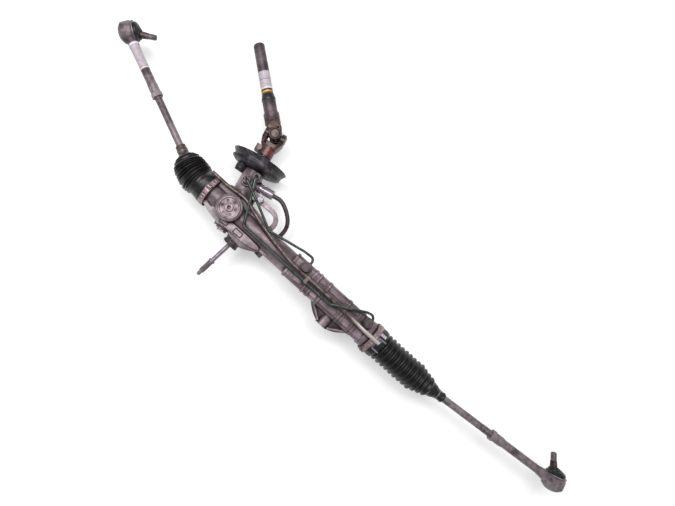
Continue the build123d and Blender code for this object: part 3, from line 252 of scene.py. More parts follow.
def over(material, colour, centre, inner, outer, speckle=None):
    """Lays a second colour round a point: whole within inner metres, gone beyond outer, and broken up by
    noise of a speckle size in millimetres."""
    tree = material.node_tree
    shader = next(n for n in tree.nodes if n.type == "BSDF_PRINCIPLED")
    under = shader.inputs["Base Color"].links[0].from_socket
    where = add(tree, "ShaderNodeTexCoord").outputs["Object"]
    away = add(tree, "ShaderNodeVectorMath", {1: tuple(centre)}, {0: where}, operation="DISTANCE").outputs["Value"]
    amount = add(tree, "ShaderNodeMapRange", {"From Min": outer, "From Max": inner}, {"Value": away}).outputs[0]
    if speckle:
        broken = mottle(tree, where, speckle, 0.36, 0.5)
        amount = add(tree, "ShaderNodeMath", {}, {0: amount, 1: broken}, operation="MULTIPLY").outputs[0]
    tree.links.new(blend_colours(tree, amount, under, colour), shader.inputs["Base Color"])
    return material


def sand_cast_aluminium(name, mid, pale, grime_and_shade_colour):
    """As-cast skin: 1.2 mm sand grain, 30 mm stains, rubbed patches, 5 mm pits, a 45 mm film of dirt, and
    painted shade, with grime, in wide corners and narrow slots."""
    made, tree, shader, where = start_finish(name)
    stain = mottle(tree, where, 30, 0.38, 0.66)
    rubbed = mottle(tree, where, 9, 0.45, 0.70, detail=6)
    grain = mottle(tree, where, 1.2, 0.30, 0.70, detail=3)
    cells = add(tree, "ShaderNodeTexVoronoi", {"Scale": per_mm(5)}, {"Vector": where}).outputs["Distance"]
    pit_edge = {"From Min": 0.05, "From Max": 0.2, "To Min": 1, "To Max": 0}
    pits = add(tree, "ShaderNodeMapRange", pit_edge, {"Value": cells}).outputs[0]
    colour = blend_colours(tree, stain, mid, pale)
    colour = blend_colours(tree, rubbed, colour, mid)
    # The two corner layers are painted shade, with grime: darker where surfaces, this piece's and others', shade
    # each other.
    for amount, most in (
        (pits, 0.35),
        (mottle(tree, where, 45, 0.40, 0.58), 0.65),
        (corner_shade_and_grime(tree, 16, 0.93, 0.48, own=False), 1.0),
        (corner_shade_and_grime(tree, 4, 0.9, 0.5, own=False), 1.0),
    ):
        colour = blend_colours(tree, amount, colour, grime_and_shade_colour, most)
    tree.links.new(colour, shader.inputs["Base Color"])
    shader.inputs["Metallic"].default_value = 0.35
    shader.inputs["Coat Weight"].default_value = 0.25
    shader.inputs["Coat Roughness"].default_value = 0.22
    vary_roughness(tree, shader, grain, 0.34, 0.56)
    raise_bumps(tree, shader, (stain, 0.5, 0.5), (grain, 0.15, 0.7))
    round_edges(tree, shader, 1.6)
    return made


# Painted highlight: the end of the arm is lit nearly white round this point.
arm_end_highlight = (-0.200, 0.086, -0.020)
housing_skin = sand_cast_aluminium("sand_cast_aluminium", "#84727a", "#c4b1bb", "#38292c")
over(housing_skin, "#ded2d8", arm_end_highlight, 0.008, 0.016)
paint_nodes(housing_skin, "rack_housing", "valve_housing")
# A darker copy of the same skin, painted shade, for webs and rims that lie low and in shade.
shaded_skin = sand_cast_aluminium("painted_shade_cast_aluminium", "#66565b", "#8a7a81", "#2e2326")


# Yoke plug: a turned aluminium cap, paler than the casting, with the lathe's rings, and painted shade
# with dirt in its groove.
def turned_metal(name, centre, ring_size, pale, dark, groove_dirt_and_shade):
    """Lathe-turned face: rings of a real spacing about an upright axis, stained in 12 mm patches."""
    made, tree, shader, where = start_finish(name)
    back = tuple(-c for c in centre)
    placed = add(tree, "ShaderNodeVectorMath", {1: back}, {0: where}, operation="ADD").outputs[0]
    rings_look = {"Scale": per_mm(ring_size) / 20, "Distortion": 0.6, "Detail": 2.0, "Detail Scale": 2.0}
    about = {"wave_type": "RINGS", "rings_direction": "Z"}
    turned = add(tree, "ShaderNodeTexWave", rings_look, {"Vector": placed}, **about)
    stain = mottle(tree, where, 12, 0.40, 0.68, detail=6)
    colour = blend_colours(tree, stain, pale, dark)
    # Painted shade, with dirt: darker where the groove's walls shade each other.
    colour = blend_colours(tree, corner_shade_and_grime(tree, 5, 0.95, 0.4), colour, groove_dirt_and_shade)
    tree.links.new(colour, shader.inputs["Base Color"])
    shader.inputs["Metallic"].default_value = 0.6
    vary_roughness(tree, shader, stain, 0.42, 0.6)
    raise_bumps(tree, shader, (turned.outputs["Fac"], 0.08, 0.5), (stain, 0.15, 0.3))
    return made


plug_centre = (-0.276, 0.048, 0.0)
plug_metal = turned_metal("turned_aluminium_plug", plug_centre, 1.2, "#8f8085", "#6c5e62", "#4a3e40")
paint_nodes(plug_metal, "yoke_plug", "rack_yoke")


# Inner steel: the rack, pinion, sleeve, input shaft, piston and bearings are ground and kept in oil, so
# they are clean, bright and streaked along the rack. The input shaft's bush is warm brown bronze.
def ground_steel(name, colour, stain_colour, streak=(1, 1, 1)):
    """Ground steel: fine 0.8 mm streaks, stretched where streak is small, and faint 15 mm oil stains."""
    made, tree, shader, where = start_finish(name)
    drawn = add(tree, "ShaderNodeMapping", {"Scale": streak}, {"Vector": where})
    lines = mottle(tree, drawn.outputs[0], 0.8, 0.35, 0.65, detail=2)
    stain = mottle(tree, where, 15, 0.42, 0.70)
    tree.links.new(blend_colours(tree, stain, colour, stain_colour), shader.inputs["Base Color"])
    shader.inputs["Metallic"].default_value = 1.0
    vary_roughness(tree, shader, lines, 0.18, 0.34)
    raise_bumps(tree, shader, (lines, 0.02, 0.4))
    return made


paint_nodes(
    ground_steel("ground_bright_steel", "#b9b6b8", "#8d8584", streak=(0.1, 1, 1)),
    "rack_bar",
    "rack_piston",
    "pinion_shaft",
    "valve_sleeve",
    "input_shaft",
    "lower_pinion_bearing",
    "upper_pinion_bearing",
    "yoke_spring",
    "left_inner_socket",
    "right_inner_socket",
)
paint_nodes(ground_steel("sintered_bronze", "#a98a5c", "#7d6238"), "input_shaft_bearing")


# Ball seats and the rack's end bush: pale moulded acetal, greasy, with the faint flow marks of moulding.
# The seals are the same kind of moulding in near-black nitrile rubber.
def moulded_plastic(name, colour, shade, grain_size=2.0, low=0.35, high=0.5):
    """Moulded plastic: soft flow marks of 10 mm and a fine orange peel."""
    made, tree, shader, where = start_finish(name)
    flow = mottle(tree, where, 10, 0.35, 0.70)
    peel = mottle(tree, where, grain_size, 0.3, 0.7, detail=2)
    tree.links.new(blend_colours(tree, flow, colour, shade), shader.inputs["Base Color"])
    vary_roughness(tree, shader, peel, low, high)
    raise_bumps(tree, shader, (peel, 0.05, 0.4))
    return made


paint_nodes(
    moulded_plastic("moulded_acetal", "#d8d0bd", "#bfb49a"),
    "left_inner_ball_liner",
    "right_inner_ball_liner",
    "left_stud_liner",
    "right_stud_liner",
    "rack_end_bushing",
)
paint_nodes(
    moulded_plastic("nitrile_seal_rubber", "#201d20", "#2e2a2d", grain_size=1.5, low=0.4, high=0.6),
    "inner_cylinder_seal",
    "neck_seal",
)


# Bolts, nuts, unions and clips: zinc-plated steel, dull and lilac where the plating is whole and brown
# where it has gone. The unions sit in oily dirt, and the hose's new fitting is still bright.
def worn_zinc(name, plate, dull, rust, low=0.3, high=0.5, rust_from=0.62):
    """Zinc plate: 6 mm clouds, 1 mm crystals and rust in the upper reach of an 8 mm noise."""
    made, tree, shader, where = start_finish(name)
    cloud = mottle(tree, where, 6, 0.35, 0.68, detail=5)
    crystal = mottle(tree, where, 1.0, 0.3, 0.7, detail=2)
    spots = mottle(tree, where, 8, rust_from, rust_from + 0.1, detail=6)
    colour = blend_colours(tree, cloud, plate, dull)
    tree.links.new(blend_colours(tree, spots, colour, rust), shader.inputs["Base Color"])
    shader.inputs["Metallic"].default_value = 0.5
    vary_roughness(tree, shader, cloud, low, high)
    raise_bumps(tree, shader, (crystal, 0.05, 0.35), (spots, 0.1, 0.5))
    return made


zinc = worn_zinc("worn_zinc_plate", "#9d949f", "#7a7078", "#6a4a3a")
dark_zinc = worn_zinc("dirty_zinc_plate", "#5f5557", "#453c3e", "#3a2c28", low=0.4, high=0.6)
new_zinc = worn_zinc("bright_zinc_plate", "#b3a7b1", "#8b7f8a", "#75666a", low=0.14, high=0.28, rust_from=0.72)
paint_nodes(zinc, "housing_bolts", "pinion_end_cap", "hose_coupling", "mount_bolt", "far_mount_sleeve")
paint_nodes(zinc, "right_boot_clip")
paint_nodes(dark_zinc, "line_union_nuts", "cylinder_unions")
paint_nodes(new_zinc, "hose_fitting")


# Fluid lines, breather tube and its clip: thin drawn steel. The lines are oiled and dark green-grey, and
# the breather is a bare brown tube with a painted highlight, pale, round its raised middle.
line_steel = worn_zinc("oiled_line_steel", "#46524f", "#343a39", "#2b2726", low=0.2, high=0.42, rust_from=0.55)
paint_nodes(line_steel, "transfer_line_a", "transfer_line_b")
vent_highlight_centre = (0.082, 0.055, 0.035)
vent_steel = worn_zinc("vent_tube_steel", "#786a67", "#5b4e4d", "#43363a", low=0.28, high=0.45, rust_from=0.52)
# Painted highlight on the breather's raised middle.
over(vent_steel, "#c9bebc", vent_highlight_centre, 0.026, 0.055)
paint_nodes(vent_steel, "vent_tube", "pipe_clip")


# Tie rods, rod ends, studs and the sliding shaft: forged and drawn steel, grey and blotched with scale.
# The studs and the joint's cups are darker with grease.
def forged_steel_skin(name, mid, pale, dark, low=0.4, high=0.6, coat=0.0):
    """Forged or drawn steel: scale in 7 mm patches, 25 mm oil stains, and painted shade, with grime, in corners."""
    made, tree, shader, where = start_finish(name)
    scale = mottle(tree, where, 7, 0.36, 0.68, detail=6)
    stain = mottle(tree, where, 25, 0.45, 0.68)
    grain = mottle(tree, where, 0.9, 0.3, 0.7, detail=2)
    colour = blend_colours(tree, scale, mid, pale)
    colour = blend_colours(tree, stain, colour, dark)
    # Painted shade, with grime: darker where the piece's own surfaces shade each other.
    colour = blend_colours(tree, corner_shade_and_grime(tree, 6, 0.95, 0.35), colour, dark)
    tree.links.new(colour, shader.inputs["Base Color"])
    shader.inputs["Metallic"].default_value = 0.45
    shader.inputs["Coat Weight"].default_value = coat
    shader.inputs["Coat Roughness"].default_value = 0.15
    vary_roughness(tree, shader, scale, low, high)
    raise_bumps(tree, shader, (scale, 0.15, 0.4), (grain, 0.05, 0.4))
    round_edges(tree, shader, 1.2)
    return made


rod_steel = forged_steel_skin("drawn_rod_steel", "#7d7175", "#a39a9e", "#54464a")
shaft_steel = forged_steel_skin("drawn_shaft_steel", "#5d5257", "#7d7176", "#3c3234")
stud_steel = forged_steel_skin("greased_stud_steel", "#4a3d3c", "#7a6a66", "#221b1b", low=0.3, high=0.5)
for side in ("left", "right"):
    paint_nodes(rod_steel, f"{side}_tie_rod", f"{side}_rod_end", f"{side}_jam_nut")
    paint_nodes(stud_steel, f"{side}_ball_stud")
paint_nodes(rod_steel, "left_boot_clip")
paint_nodes(stud_steel, "lower_fork_cups", "upper_yoke_cups", "pinch_bolt")
paint_nodes(shaft_steel, "sliding_shaft")


# Boots: bellows of black rubber, moulded in one piece with a plain cuff, even folds and a narrow neck.
# The right one lies nearly straight. The left one is pushed together, fans open round its bend and is
# dusty. The neck goes with the rod.
def black_rubber_skin(name, colour, worn, dust, low=0.38, high=0.62, dust_from=0.6):
    """Moulded rubber: 8 mm scuffs, a 0.8 mm skin grain, and pale dust in the upper reach of a 20 mm noise."""
    made, tree, shader, where = start_finish(name)
    scuff = mottle(tree, where, 8, 0.40, 0.72, detail=5)
    skin_grain = mottle(tree, where, 0.8, 0.3, 0.7, detail=2)
    dusty = mottle(tree, where, 20, dust_from, dust_from + 0.15, detail=6)
    shade = blend_colours(tree, scuff, colour, worn)
    tree.links.new(blend_colours(tree, dusty, shade, dust), shader.inputs["Base Color"])
    vary_roughness(tree, shader, scuff, low, high)
    raise_bumps(tree, shader, (skin_grain, 0.04, 0.4), (scuff, 0.08, 0.3))
    return made


def place(station, reach, height=0.0):
    """A point of the gear, from millimetres along the rack, toward the column and up, in metres."""
    return np.array([station - 280.0, reach + 48.0, height]) / 1000


def heading(degrees):
    """Unit vector in plan."""
    return np.array([math.cos(math.radians(degrees)), math.sin(math.radians(degrees)), 0.0])


def skin(name, grid, finish, body=None, capped=False):
    """Mesh from a grid of points in metres. Columns run round a section and meet; rows run round too, or
    end in flat caps."""
    rows, columns = grid.shape[:2]
    corner = np.arange(rows * columns).reshape(rows, columns)
    beside = np.roll(corner, -1, axis=1)
    quads = np.stack([corner, beside, np.roll(beside, -1, axis=0), np.roll(corner, -1, axis=0)], axis=-1)
    faces = quads[: rows - 1 if capped else rows].reshape(-1, 4).tolist()
    if capped:
        faces += [corner[0][::-1].tolist(), corner[-1].tolist()]
    mesh = bpy.data.meshes.new(name)
    mesh.from_pydata(grid.reshape(-1, 3), [], faces)
    work = bmesh.new()
    work.from_mesh(mesh)
    bmesh.ops.recalc_face_normals(work, faces=work.faces)
    work.to_mesh(mesh)
    work.free()
    mesh.shade_smooth()
    mesh.materials.append(finish)
    piece = bpy.data.objects.new(name, mesh)
    bpy.context.collection.objects.link(piece)
    if body:
        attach(piece, body)
    return piece


def rings(centres, sides, radii, turns, rise=(0.0, 0.0, 1.0)):
    """Grid of rings: each row is its centre plus radius times (cosine of the angle times its side vector
    plus sine times the rise)."""
    angle = turns * 2 * math.pi
    radii = np.broadcast_to(radii, (len(centres), len(turns)))[..., None]
    spoke = np.cos(angle)[None, :, None] * sides[:, None, :] + np.sin(angle)[None, :, None] * np.array(rise)
    return centres[:, None, :] + radii * spoke


def bellows(name, outer, span, start, angles, bend_at, bend_half, arc, skew, finish):
    """Boot: rings along a path whose heading turns by a smooth step about a bend, with its outer radii at
    arc lengths, then the same rings a wall further in, coming back. Only the rings within a span are kept.
    Beyond 24 mm the radius also waves twice round, by the skew."""
    wall = 1.6
    share = np.clip((arc - bend_at + bend_half) / (2 * bend_half), 0, 1)
    angle = np.radians(angles[0] + (angles[1] - angles[0]) * share * share * (3 - 2 * share))
    step = np.diff(arc, prepend=arc[0])[:, None]
    along = np.stack([np.cos(angle), np.sin(angle), 0 * angle], axis=-1)
    centres = start + np.cumsum(step * along, axis=0) / 1000
    sides = np.stack([-np.sin(angle), np.cos(angle), 0 * angle], axis=-1)
    turns = np.arange(128) / 128
    wave = np.sin(2 * math.pi * (2 * turns[None, :] + arc[:, None] / 37))
    radii = outer[:, None] + skew * wave * np.clip(outer[:, None] - 24, 0, 1)
    kept = (arc >= span[0]) & (arc <= span[1])
    outside = rings(centres, sides, radii / 1000, turns)[kept]
    inside = rings(centres, sides, (radii - wall) / 1000, turns)[kept]
    return skin(name, np.concatenate([outside, inside[::-1]]), finish)


def folded(arc, first, pitch, count, valley_depth, ridge):
    """Outer radii: ridge height, less a valley depth wherever a raised cosine of the fold pitch is low."""
    wave = 0.5 + 0.5 * np.cos(2 * math.pi * (arc - first) / pitch)
    inside = (arc > first - pitch / 2) & (arc < first + (count - 0.5) * pitch)
    return ridge - np.where(inside, valley_depth * (1 - wave**0.85), valley_depth)


def swell(arc, middle, width):
    """A bell of height 1 about a middle."""
    return np.exp(-(((arc - middle) / width) ** 2))


def tucked(radii, arc, until, bend_at, ball, gap):
    """Outer radii held within a ball about the bend, less a gap, up to an arc length."""
    within = np.sqrt(np.maximum(ball**2 - (arc - bend_at) ** 2, 1)) - gap
    return np.minimum(radii, np.where(arc < until, within, 99))


left_inner_ball, left_rod_angle = place(-93, 0), 157
right_inner_ball, right_rod_angle = place(477, 0), 5.4
# Clean boot rubber: near black with a soft sheen on each ridge.
boot_rubber = black_rubber_skin(
    "moulded_boot_rubber", "#141315", "#1f1d20", "#3a3533", low=0.3, high=0.5, dust_from=0.68
)
paint_nodes(boot_rubber, "left_boot", "right_boot", "left_stud_boot", "right_stud_boot")
# Dusty boot rubber: browner, with a patch of dried mud at the bend.
left_rubber = black_rubber_skin("dusty_boot_rubber", "#171517", "#272427", "#4f4744", low=0.3, high=0.52)
over(left_rubber, "#6a5850", (-0.4180, 0.0670, 0.0), 0.006, 0.024, speckle=7)

right_arc = np.linspace(0, 188.5, 520)
right_ridge = np.interp(right_arc, [30, 120, 138, 158, 168, 176, 188.5], [29.3, 28.8, 23.5, 18.5, 12.5, 9.6, 9.6])
right_depth = np.interp(right_arc, [30, 120, 138, 158, 166], [4.6, 4.4, 3.6, 2.8, 0.0])
right_radii = folded(right_arc, 35.5, 10.5, 12, right_depth, right_ridge)
right_cuff = 30.2 + 0.5 * swell(right_arc, 22, 3) - 1.2 * swell(right_arc, 29, 2)
right_radii = np.where(right_arc < 29, right_cuff, right_radii) + 0.7 * swell(right_arc, 186, 1.6)
right_path = (place(361.5, 0), (0, right_rod_angle), 115.5, 45, right_arc, 0.25, boot_rubber)
right_boot = bellows("right_boot_bellows", right_radii, (0, 140), *right_path)
right_held = tucked(right_radii, right_arc, 140.5, 115.5, 31, 2.2)
right_neck = bellows("right_boot_neck", right_held, (132, 189), *right_path)
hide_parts("right_boot")
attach(right_neck, "right_rod")
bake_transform(right_boot)

left_arc = np.linspace(0, 112, 560)
left_ridge = np.interp(left_arc, [30, 44, 66, 78, 88, 95, 112], [31.8, 33.6, 33.2, 28.5, 20.5, 10.4, 10.0])
left_depth = np.interp(left_arc, [30, 44, 70, 88, 94], [2.6, 4.4, 4.4, 3.0, 0.0])
crumple = left_arc + 1.1 * np.sin(left_arc / 5.1) + 0.7 * np.sin(left_arc / 2.3 + 1)
left_radii = folded(crumple, 34.5, 5.2, 11, left_depth, left_ridge)
left_cuff = 30.2 + 0.5 * swell(left_arc, 15, 2) - 0.8 * swell(left_arc, 28, 3)
left_radii = np.where(left_arc < 30.5, left_cuff, left_radii) + 0.9 * swell(left_arc, 103, 1.8)
left_path = (place(-44.5, 0), (180, left_rod_angle), 48.5, 30, left_arc, 0.9, left_rubber)
left_boot = bellows("left_boot_bellows", left_radii, (0, 68), *left_path)
left_held = tucked(left_radii, left_arc, 68.5, 48.5, 36, 4.5)
left_neck = bellows("left_boot_neck", left_held, (52, 113), *left_path)
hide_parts("left_boot")
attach(left_neck, "left_rod")
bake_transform(left_boot)


# Boot clamps: stainless bands, closed by a pinched ear, with a ladder of pressed slots that catches light.
def loop_profile(length, thickness, steps):
    """A closed outline in (along, out) millimetres: out along the outer face, back along the inner."""
    out = np.linspace(0, length, steps)
    rim = np.minimum(1, np.minimum(out, length - out) / 0.6) ** 0.5
    face = np.stack([out, thickness * (0.4 + 0.6 * rim)], -1)
    return np.concatenate([face, np.stack([out[::-1], 0 * out], -1)])


def collar(name, foot, axis, profile, inner, finish, body, columns=96, relief=None):
    """A ring about an axis, a heading in plan or None for straight up: its closed profile of (along, out)
    turned about the axis, with relief (a function of along, turn and out) added to the radius."""
    profile = np.asarray(profile, float)
    ahead = np.array([0.0, 0.0, 1.0]) if axis is None else heading(axis)
    side = heading(0) if axis is None else heading(axis + 90)
    rise = heading(90) if axis is None else (0.0, 0.0, 1.0)
    turns = np.arange(columns) / columns
    centres = foot + profile[:, :1] * ahead / 1000
    radii = inner + profile[:, 1:] + 0 * turns
    if relief is not None:
        radii = radii + relief(profile[:, :1], turns[None, :], profile[:, 1:])
    sides = np.broadcast_to(side, centres.shape)
    return skin(name, rings(centres, sides, radii / 1000, turns, rise), finish, body)


def swept(name, path, up, half_width, half_height, finish, body, steps, sharpness):
    """A strip along a smooth path in metres: each section is a superellipse, wide across the path and low
    along up."""
    knots = np.asarray(path, float)
    reach = np.concatenate([[0], np.cumsum(np.linalg.norm(np.diff(knots, axis=0), axis=1))])
    spots = np.linspace(0, reach[-1], steps)
    line = np.stack([np.interp(spots, reach, knots[:, k]) for k in range(3)], -1)
    soft = np.pad(line, ((2, 2), (0, 0)), mode="edge")
    line = np.concatenate([line[:1], sum(soft[k : k + steps] for k in range(5))[1:-1] / 5, line[-1:]])
    ahead = np.gradient(line, axis=0)
    ahead /= np.linalg.norm(ahead, axis=1, keepdims=True)
    rise = np.broadcast_to(np.asarray(up, float), line.shape)
    across = np.cross(ahead, rise)
    across /= np.linalg.norm(across, axis=1, keepdims=True)
    rise = np.cross(across, ahead)
    turn = np.arange(24) / 24 * 2 * math.pi
    flat = 2 / sharpness
    wide = half_width / 1000 * np.sign(np.cos(turn)) * np.abs(np.cos(turn)) ** flat
    tall = half_height / 1000 * np.sign(np.sin(turn)) * np.abs(np.sin(turn)) ** flat
    grid = line[:, None, :] + wide[None, :, None] * across[:, None, :] + tall[None, :, None] * rise[:, None, :]
    return skin(name, grid, finish, body, capped=True)


band_width = 11


def ladder(along, turn, out):
    """Relief of a pressed ladder: 30 rungs stand between slots 0.55 mm deep along the band's middle."""
    rung = 1 / (1 + np.exp(-14 * np.cos(2 * math.pi * 30 * turn)))
    middle = 1 / (1 + np.exp(-4 * (band_width / 2 - 2.2 - np.abs(along - band_width / 2))))
    return -0.55 * (1 - rung) * middle * (out > 0.3)


clamp_steel = worn_zinc("scuffed_clamp_steel", "#b09a9c", "#7f6d70", "#54403a", low=0.25, high=0.4, rust_from=0.55)
paint_nodes(clamp_steel, "left_boot_clamp", "right_boot_clamp")
band = (loop_profile(band_width, 1.3, 28), 30.45, clamp_steel, "housing", 720, ladder)
left_clamp = collar("left_boot_band", place(-43.5, 0), 180, *band)
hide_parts("left_boot_clamp")
right_clamp = collar("right_boot_band", place(363, 0), 0, *band)
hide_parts("right_boot_clamp")
for name, station, turn_at in (("left_band_ear", -49, 83), ("right_band_ear", 368.5, 152)):
    lean = np.radians(np.linspace(turn_at - 17, turn_at + 17, 41))
    lift = 31.9 + 4.2 * np.exp(-(((np.degrees(lean) - turn_at) / 6.5) ** 4))
    ear_path = np.stack([0 * lean + station - 280, 48 + lift * np.cos(lean), lift * np.sin(lean)], -1) / 1000
    swept(name, ear_path, (-1, 0, 0), 0.55, 4.2, clamp_steel, "housing", steps=96, sharpness=6)


# Stud boots: small black rubber cups, held on the ball housing by a zinc-plated ring and gripping the
# stud's neck. Each leans with its stud.
def stud_boot(side, ball, head_angle, stud_angle):
    """Rings from the ball housing to the stud whose heading turns evenly from one axis to the other."""
    travel = np.linspace(0, 1, 60)
    shares = [0, 0.08, 0.16, 0.24, 0.34, 0.5, 0.66, 0.76, 0.84, 0.92, 1]
    outline = np.interp(travel, shares, [18.2, 19, 18.6, 17.2, 17.8, 17.4, 15, 12.6, 11.2, 10.4, 9.2])
    angle = head_angle + (stud_angle - head_angle) * travel**1.3
    centres = np.stack([ball + heading(a) * d / 1000 for a, d in zip(angle, 10.6 + 15.4 * travel)])
    sides = np.stack([heading(a + 90) for a in angle])
    turns = np.arange(96) / 96
    outside, inside = (rings(centres, sides, (outline[:, None] - wall) / 1000, turns) for wall in (0, 1.4))
    made = skin(f"{side}_stud_boot_rubber", np.concatenate([outside, inside[::-1]]), boot_rubber)
    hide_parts(f"{side}_stud_boot")
    reach = heading(head_angle) + heading(stud_angle)
    reach /= np.linalg.norm(reach)
    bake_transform(made)
    ring_foot = ball + heading(head_angle) * 0.0112
    collar(f"{side}_stud_boot_ring", ring_foot, head_angle, loop_profile(2.6, 1.0, 12), 18.7, zinc, f"{side}_rod")


left_ball, left_stud_angle = left_inner_ball + heading(left_rod_angle) * 0.306, 31
right_ball, right_stud_angle = right_inner_ball + heading(right_rod_angle) * 0.340, 131.4
stud_boot("left", left_ball, 53, left_stud_angle)
stud_boot("right", right_ball, 109.4, right_stud_angle)


# Threads: rolled 1.5 and 1.75 mm threads on the tie rods, the studs and the mount bolt, dirty in their
# roots.
thread_steel = worn_zinc("dirty_rolled_thread", "#8d8387", "#5c5355", "#4a352c")


def thread(name, foot, angle, length, core, crest, pitch, body):
    """A helical ridge: radius rises from core to crest by a rounded triangle of (along / pitch - turn)."""

    def helix(along, turn, out):
        phase = (along / pitch - turn) % 1
        tooth = 1 - np.abs(2 * phase - 1)
        ends = np.clip(np.minimum(along, length - along) / pitch, 0, 1)
        return np.where(out > 0, crest * np.clip(1.3 * tooth - 0.15, 0, 1) * ends + 0.05 - out, -0.4)

    outline = loop_profile(length, crest, max(24, int(length / pitch * 12)))
    return collar(name, foot, angle, outline, core, thread_steel, body, 72, helix)


left_thread_foot = left_inner_ball + heading(left_rod_angle) * 0.1435
right_thread_foot = right_inner_ball + heading(right_rod_angle) * 0.1645
left_stud_foot = left_ball + heading(left_stud_angle) * 0.0412
right_stud_foot = right_ball + heading(right_stud_angle) * 0.0412
thread("left_rod_thread", left_thread_foot, left_rod_angle, 23, 6.6, 0.6, 1.5, "left_rod")
thread("right_rod_thread", right_thread_foot, right_rod_angle, 23, 6.6, 0.6, 1.5, "right_rod")
thread("left_stud_thread", left_stud_foot, left_stud_angle, 13.5, 5.0, 0.45, 1.5, "left_stud")
thread("right_stud_thread", right_stud_foot, right_stud_angle, 13.5, 5.0, 0.45, 1.5, "right_stud")
bolt_angle = math.degrees(math.atan2(-0.996493, -0.083678))
bolt_foot = np.array([-0.239276, -0.064737, 0.0]) - heading(bolt_angle) * 0.0125
thread("mount_bolt_thread", bolt_foot, bolt_angle, 25, 5.25, 0.5, 1.75, "housing")


# Near mount: a cast web runs along the gear's outer side and over the lug, with two cored pads in its
# face. The pads stand in dark moats: a flat dark sheet round each pad, painted shade of the groove.
def cast_plate(name, corners, low, high, edge, finish, body, soften=5):
    """A flat casting: its outline is corners in (station, reach), resampled and softened by a running mean,
    carried straight up from low and drawn in along its normals by a quarter circle under high."""
    ring = np.array([*corners, corners[0]], float)
    reach = np.concatenate([[0], np.cumsum(np.linalg.norm(np.diff(ring, axis=0), axis=1))])
    spots = np.arange(192) / 192 * reach[-1]
    line = np.stack([np.interp(spots, reach, ring[:, k]) for k in range(2)], -1)
    line = sum(np.roll(line, k, axis=0) for k in range(-soften, soften + 1)) / (2 * soften + 1)
    ahead = np.roll(line, -1, axis=0) - np.roll(line, 1, axis=0)
    out = np.stack([ahead[:, 1], -ahead[:, 0]], -1) / np.linalg.norm(ahead, axis=1, keepdims=True)
    turning = np.sum(line[:, 0] * np.roll(line[:, 1], -1) - np.roll(line[:, 0], -1) * line[:, 1])
    out *= math.copysign(1, turning)
    arc = np.linspace(0, math.pi / 2, 6)
    rise = np.concatenate([[low], high - edge + edge * np.sin(arc)])
    inset = np.concatenate([[0], edge - edge * np.cos(arc)])
    flat = line[None, :, :] - inset[:, None, None] * out[None, :, :]
    grid = np.concatenate([flat, np.broadcast_to(rise[:, None, None], flat.shape[:2] + (1,))], -1)
    return skin(name, (grid + (-280.0, 48.0, 0.0)) / 1000, finish, body, capped=True)


def turned_plan(points, degrees, origin):
    """Plan points in millimetres, turned about zero and then moved to an origin in (station, reach)."""
    ahead = heading(degrees)[:2]
    return origin + np.array(points, float) @ np.array([ahead, (-ahead[1], ahead[0])])


# Dark fill: matt brown-black for moats, wells and cups, painted shade of those hollows with packed grime.
grime_and_shade_fill = black_rubber_skin("packed_grime_and_painted_shade", "#3a2d2c", "#4b3c3a", "#2a2120", low=0.5, high=0.7)
lug_web = ((26, -30), (33, -39.5), (52, -40.5), (66, -43.5), (82, -36), (99, -26), (96, -20), (60, -22), (36, -22))
# The lug's web lies low and takes the darker copy of the skin: painted shade.
cast_plate("near_mount_web", lug_web, 16.8, 18.0, 0.8, shaded_skin, "housing")
rail = ((3, -19), (4, -28), (9, -32), (30, -33), (60, -33), (84, -29), (99, -24), (94, -17), (60, -15.5), (30, -16))
cast_plate("near_mount_rail", rail, 8.0, 20.0, 1.3, housing_skin, "housing")
unit_square = np.array([(-0.5, -0.5), (0.5, -0.5), (0.5, 0.5), (-0.5, 0.5)])
# Each pad stands in a dark sheet, its moat: painted shade of the groove.
pad_layers = (("moat", 3.4, 20.25, 0.24, grime_and_shade_fill), ("pad", 0.0, 21.1, 0.9, housing_skin))
for pad, middle, lean, long, wide in (("first", (12.5, -25.5), 6, 15, 8), ("second", (46, -24.5), 2, 17, 8.5)):
    for part, grow, top, edge, finish in pad_layers:
        pad_plan = turned_plan(unit_square * (long + grow, wide + grow), lean, middle)
        cast_plate(f"{pad}_{part}", pad_plan, 16, top, edge, finish, "housing", soften=9)


# Far mount: webs close the lug into a half round on the outer side, with a rib on each flank.
far_web = (
    (230, -20), (240, -31), (254, -41), (267, -46.5), (294, -47),
    (308, -41), (330, -24), (326, -17), (300, -14), (260, -14),
)
# The web takes the darker copy of the skin, painted shade; the ribs keep the lit one.
cast_plate("far_mount_web", far_web, 2.0, 6.5, 1.6, shaded_skin, "housing")
for rib, ends in (
    ("left", ((233, -23.5), (268, -46), (270.5, -43), (236, -20))),
    ("right", ((292, -46.5), (329, -24), (327, -20), (290, -43))),
):
    cast_plate(f"far_mount_{rib}_rib", ends, 4.0, 15.5, 1.2, housing_skin, "housing", soften=2)


# Mount bush: brown-black rubber bonded to the bolt's sleeve, with a rounded lip at each end and a groove
# between.
bush_rubber = black_rubber_skin("bush_rubber", "#332b2b", "#4c4142", "#6b5c58")
paint_nodes(bush_rubber, "mount_bush")
bush_outline = (
    (0.1, 4.8), (0.1, 13.6), (0.7, 15.4), (2.2, 16.4), (4.0, 16.3), (5.2, 15.3), (6.4, 14.9), (8.6, 14.9),
    (9.8, 15.3), (11.0, 16.2), (12.8, 16.3), (14.3, 15.2), (15.0, 13.4), (15.0, 9.0), (14.2, 8.0), (14.2, 4.8),
)
bush = collar("mount_bush_rubber", place(47, -38, 0), -94.8, bush_outline, 0, bush_rubber, "housing")
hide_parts("mount_bush")


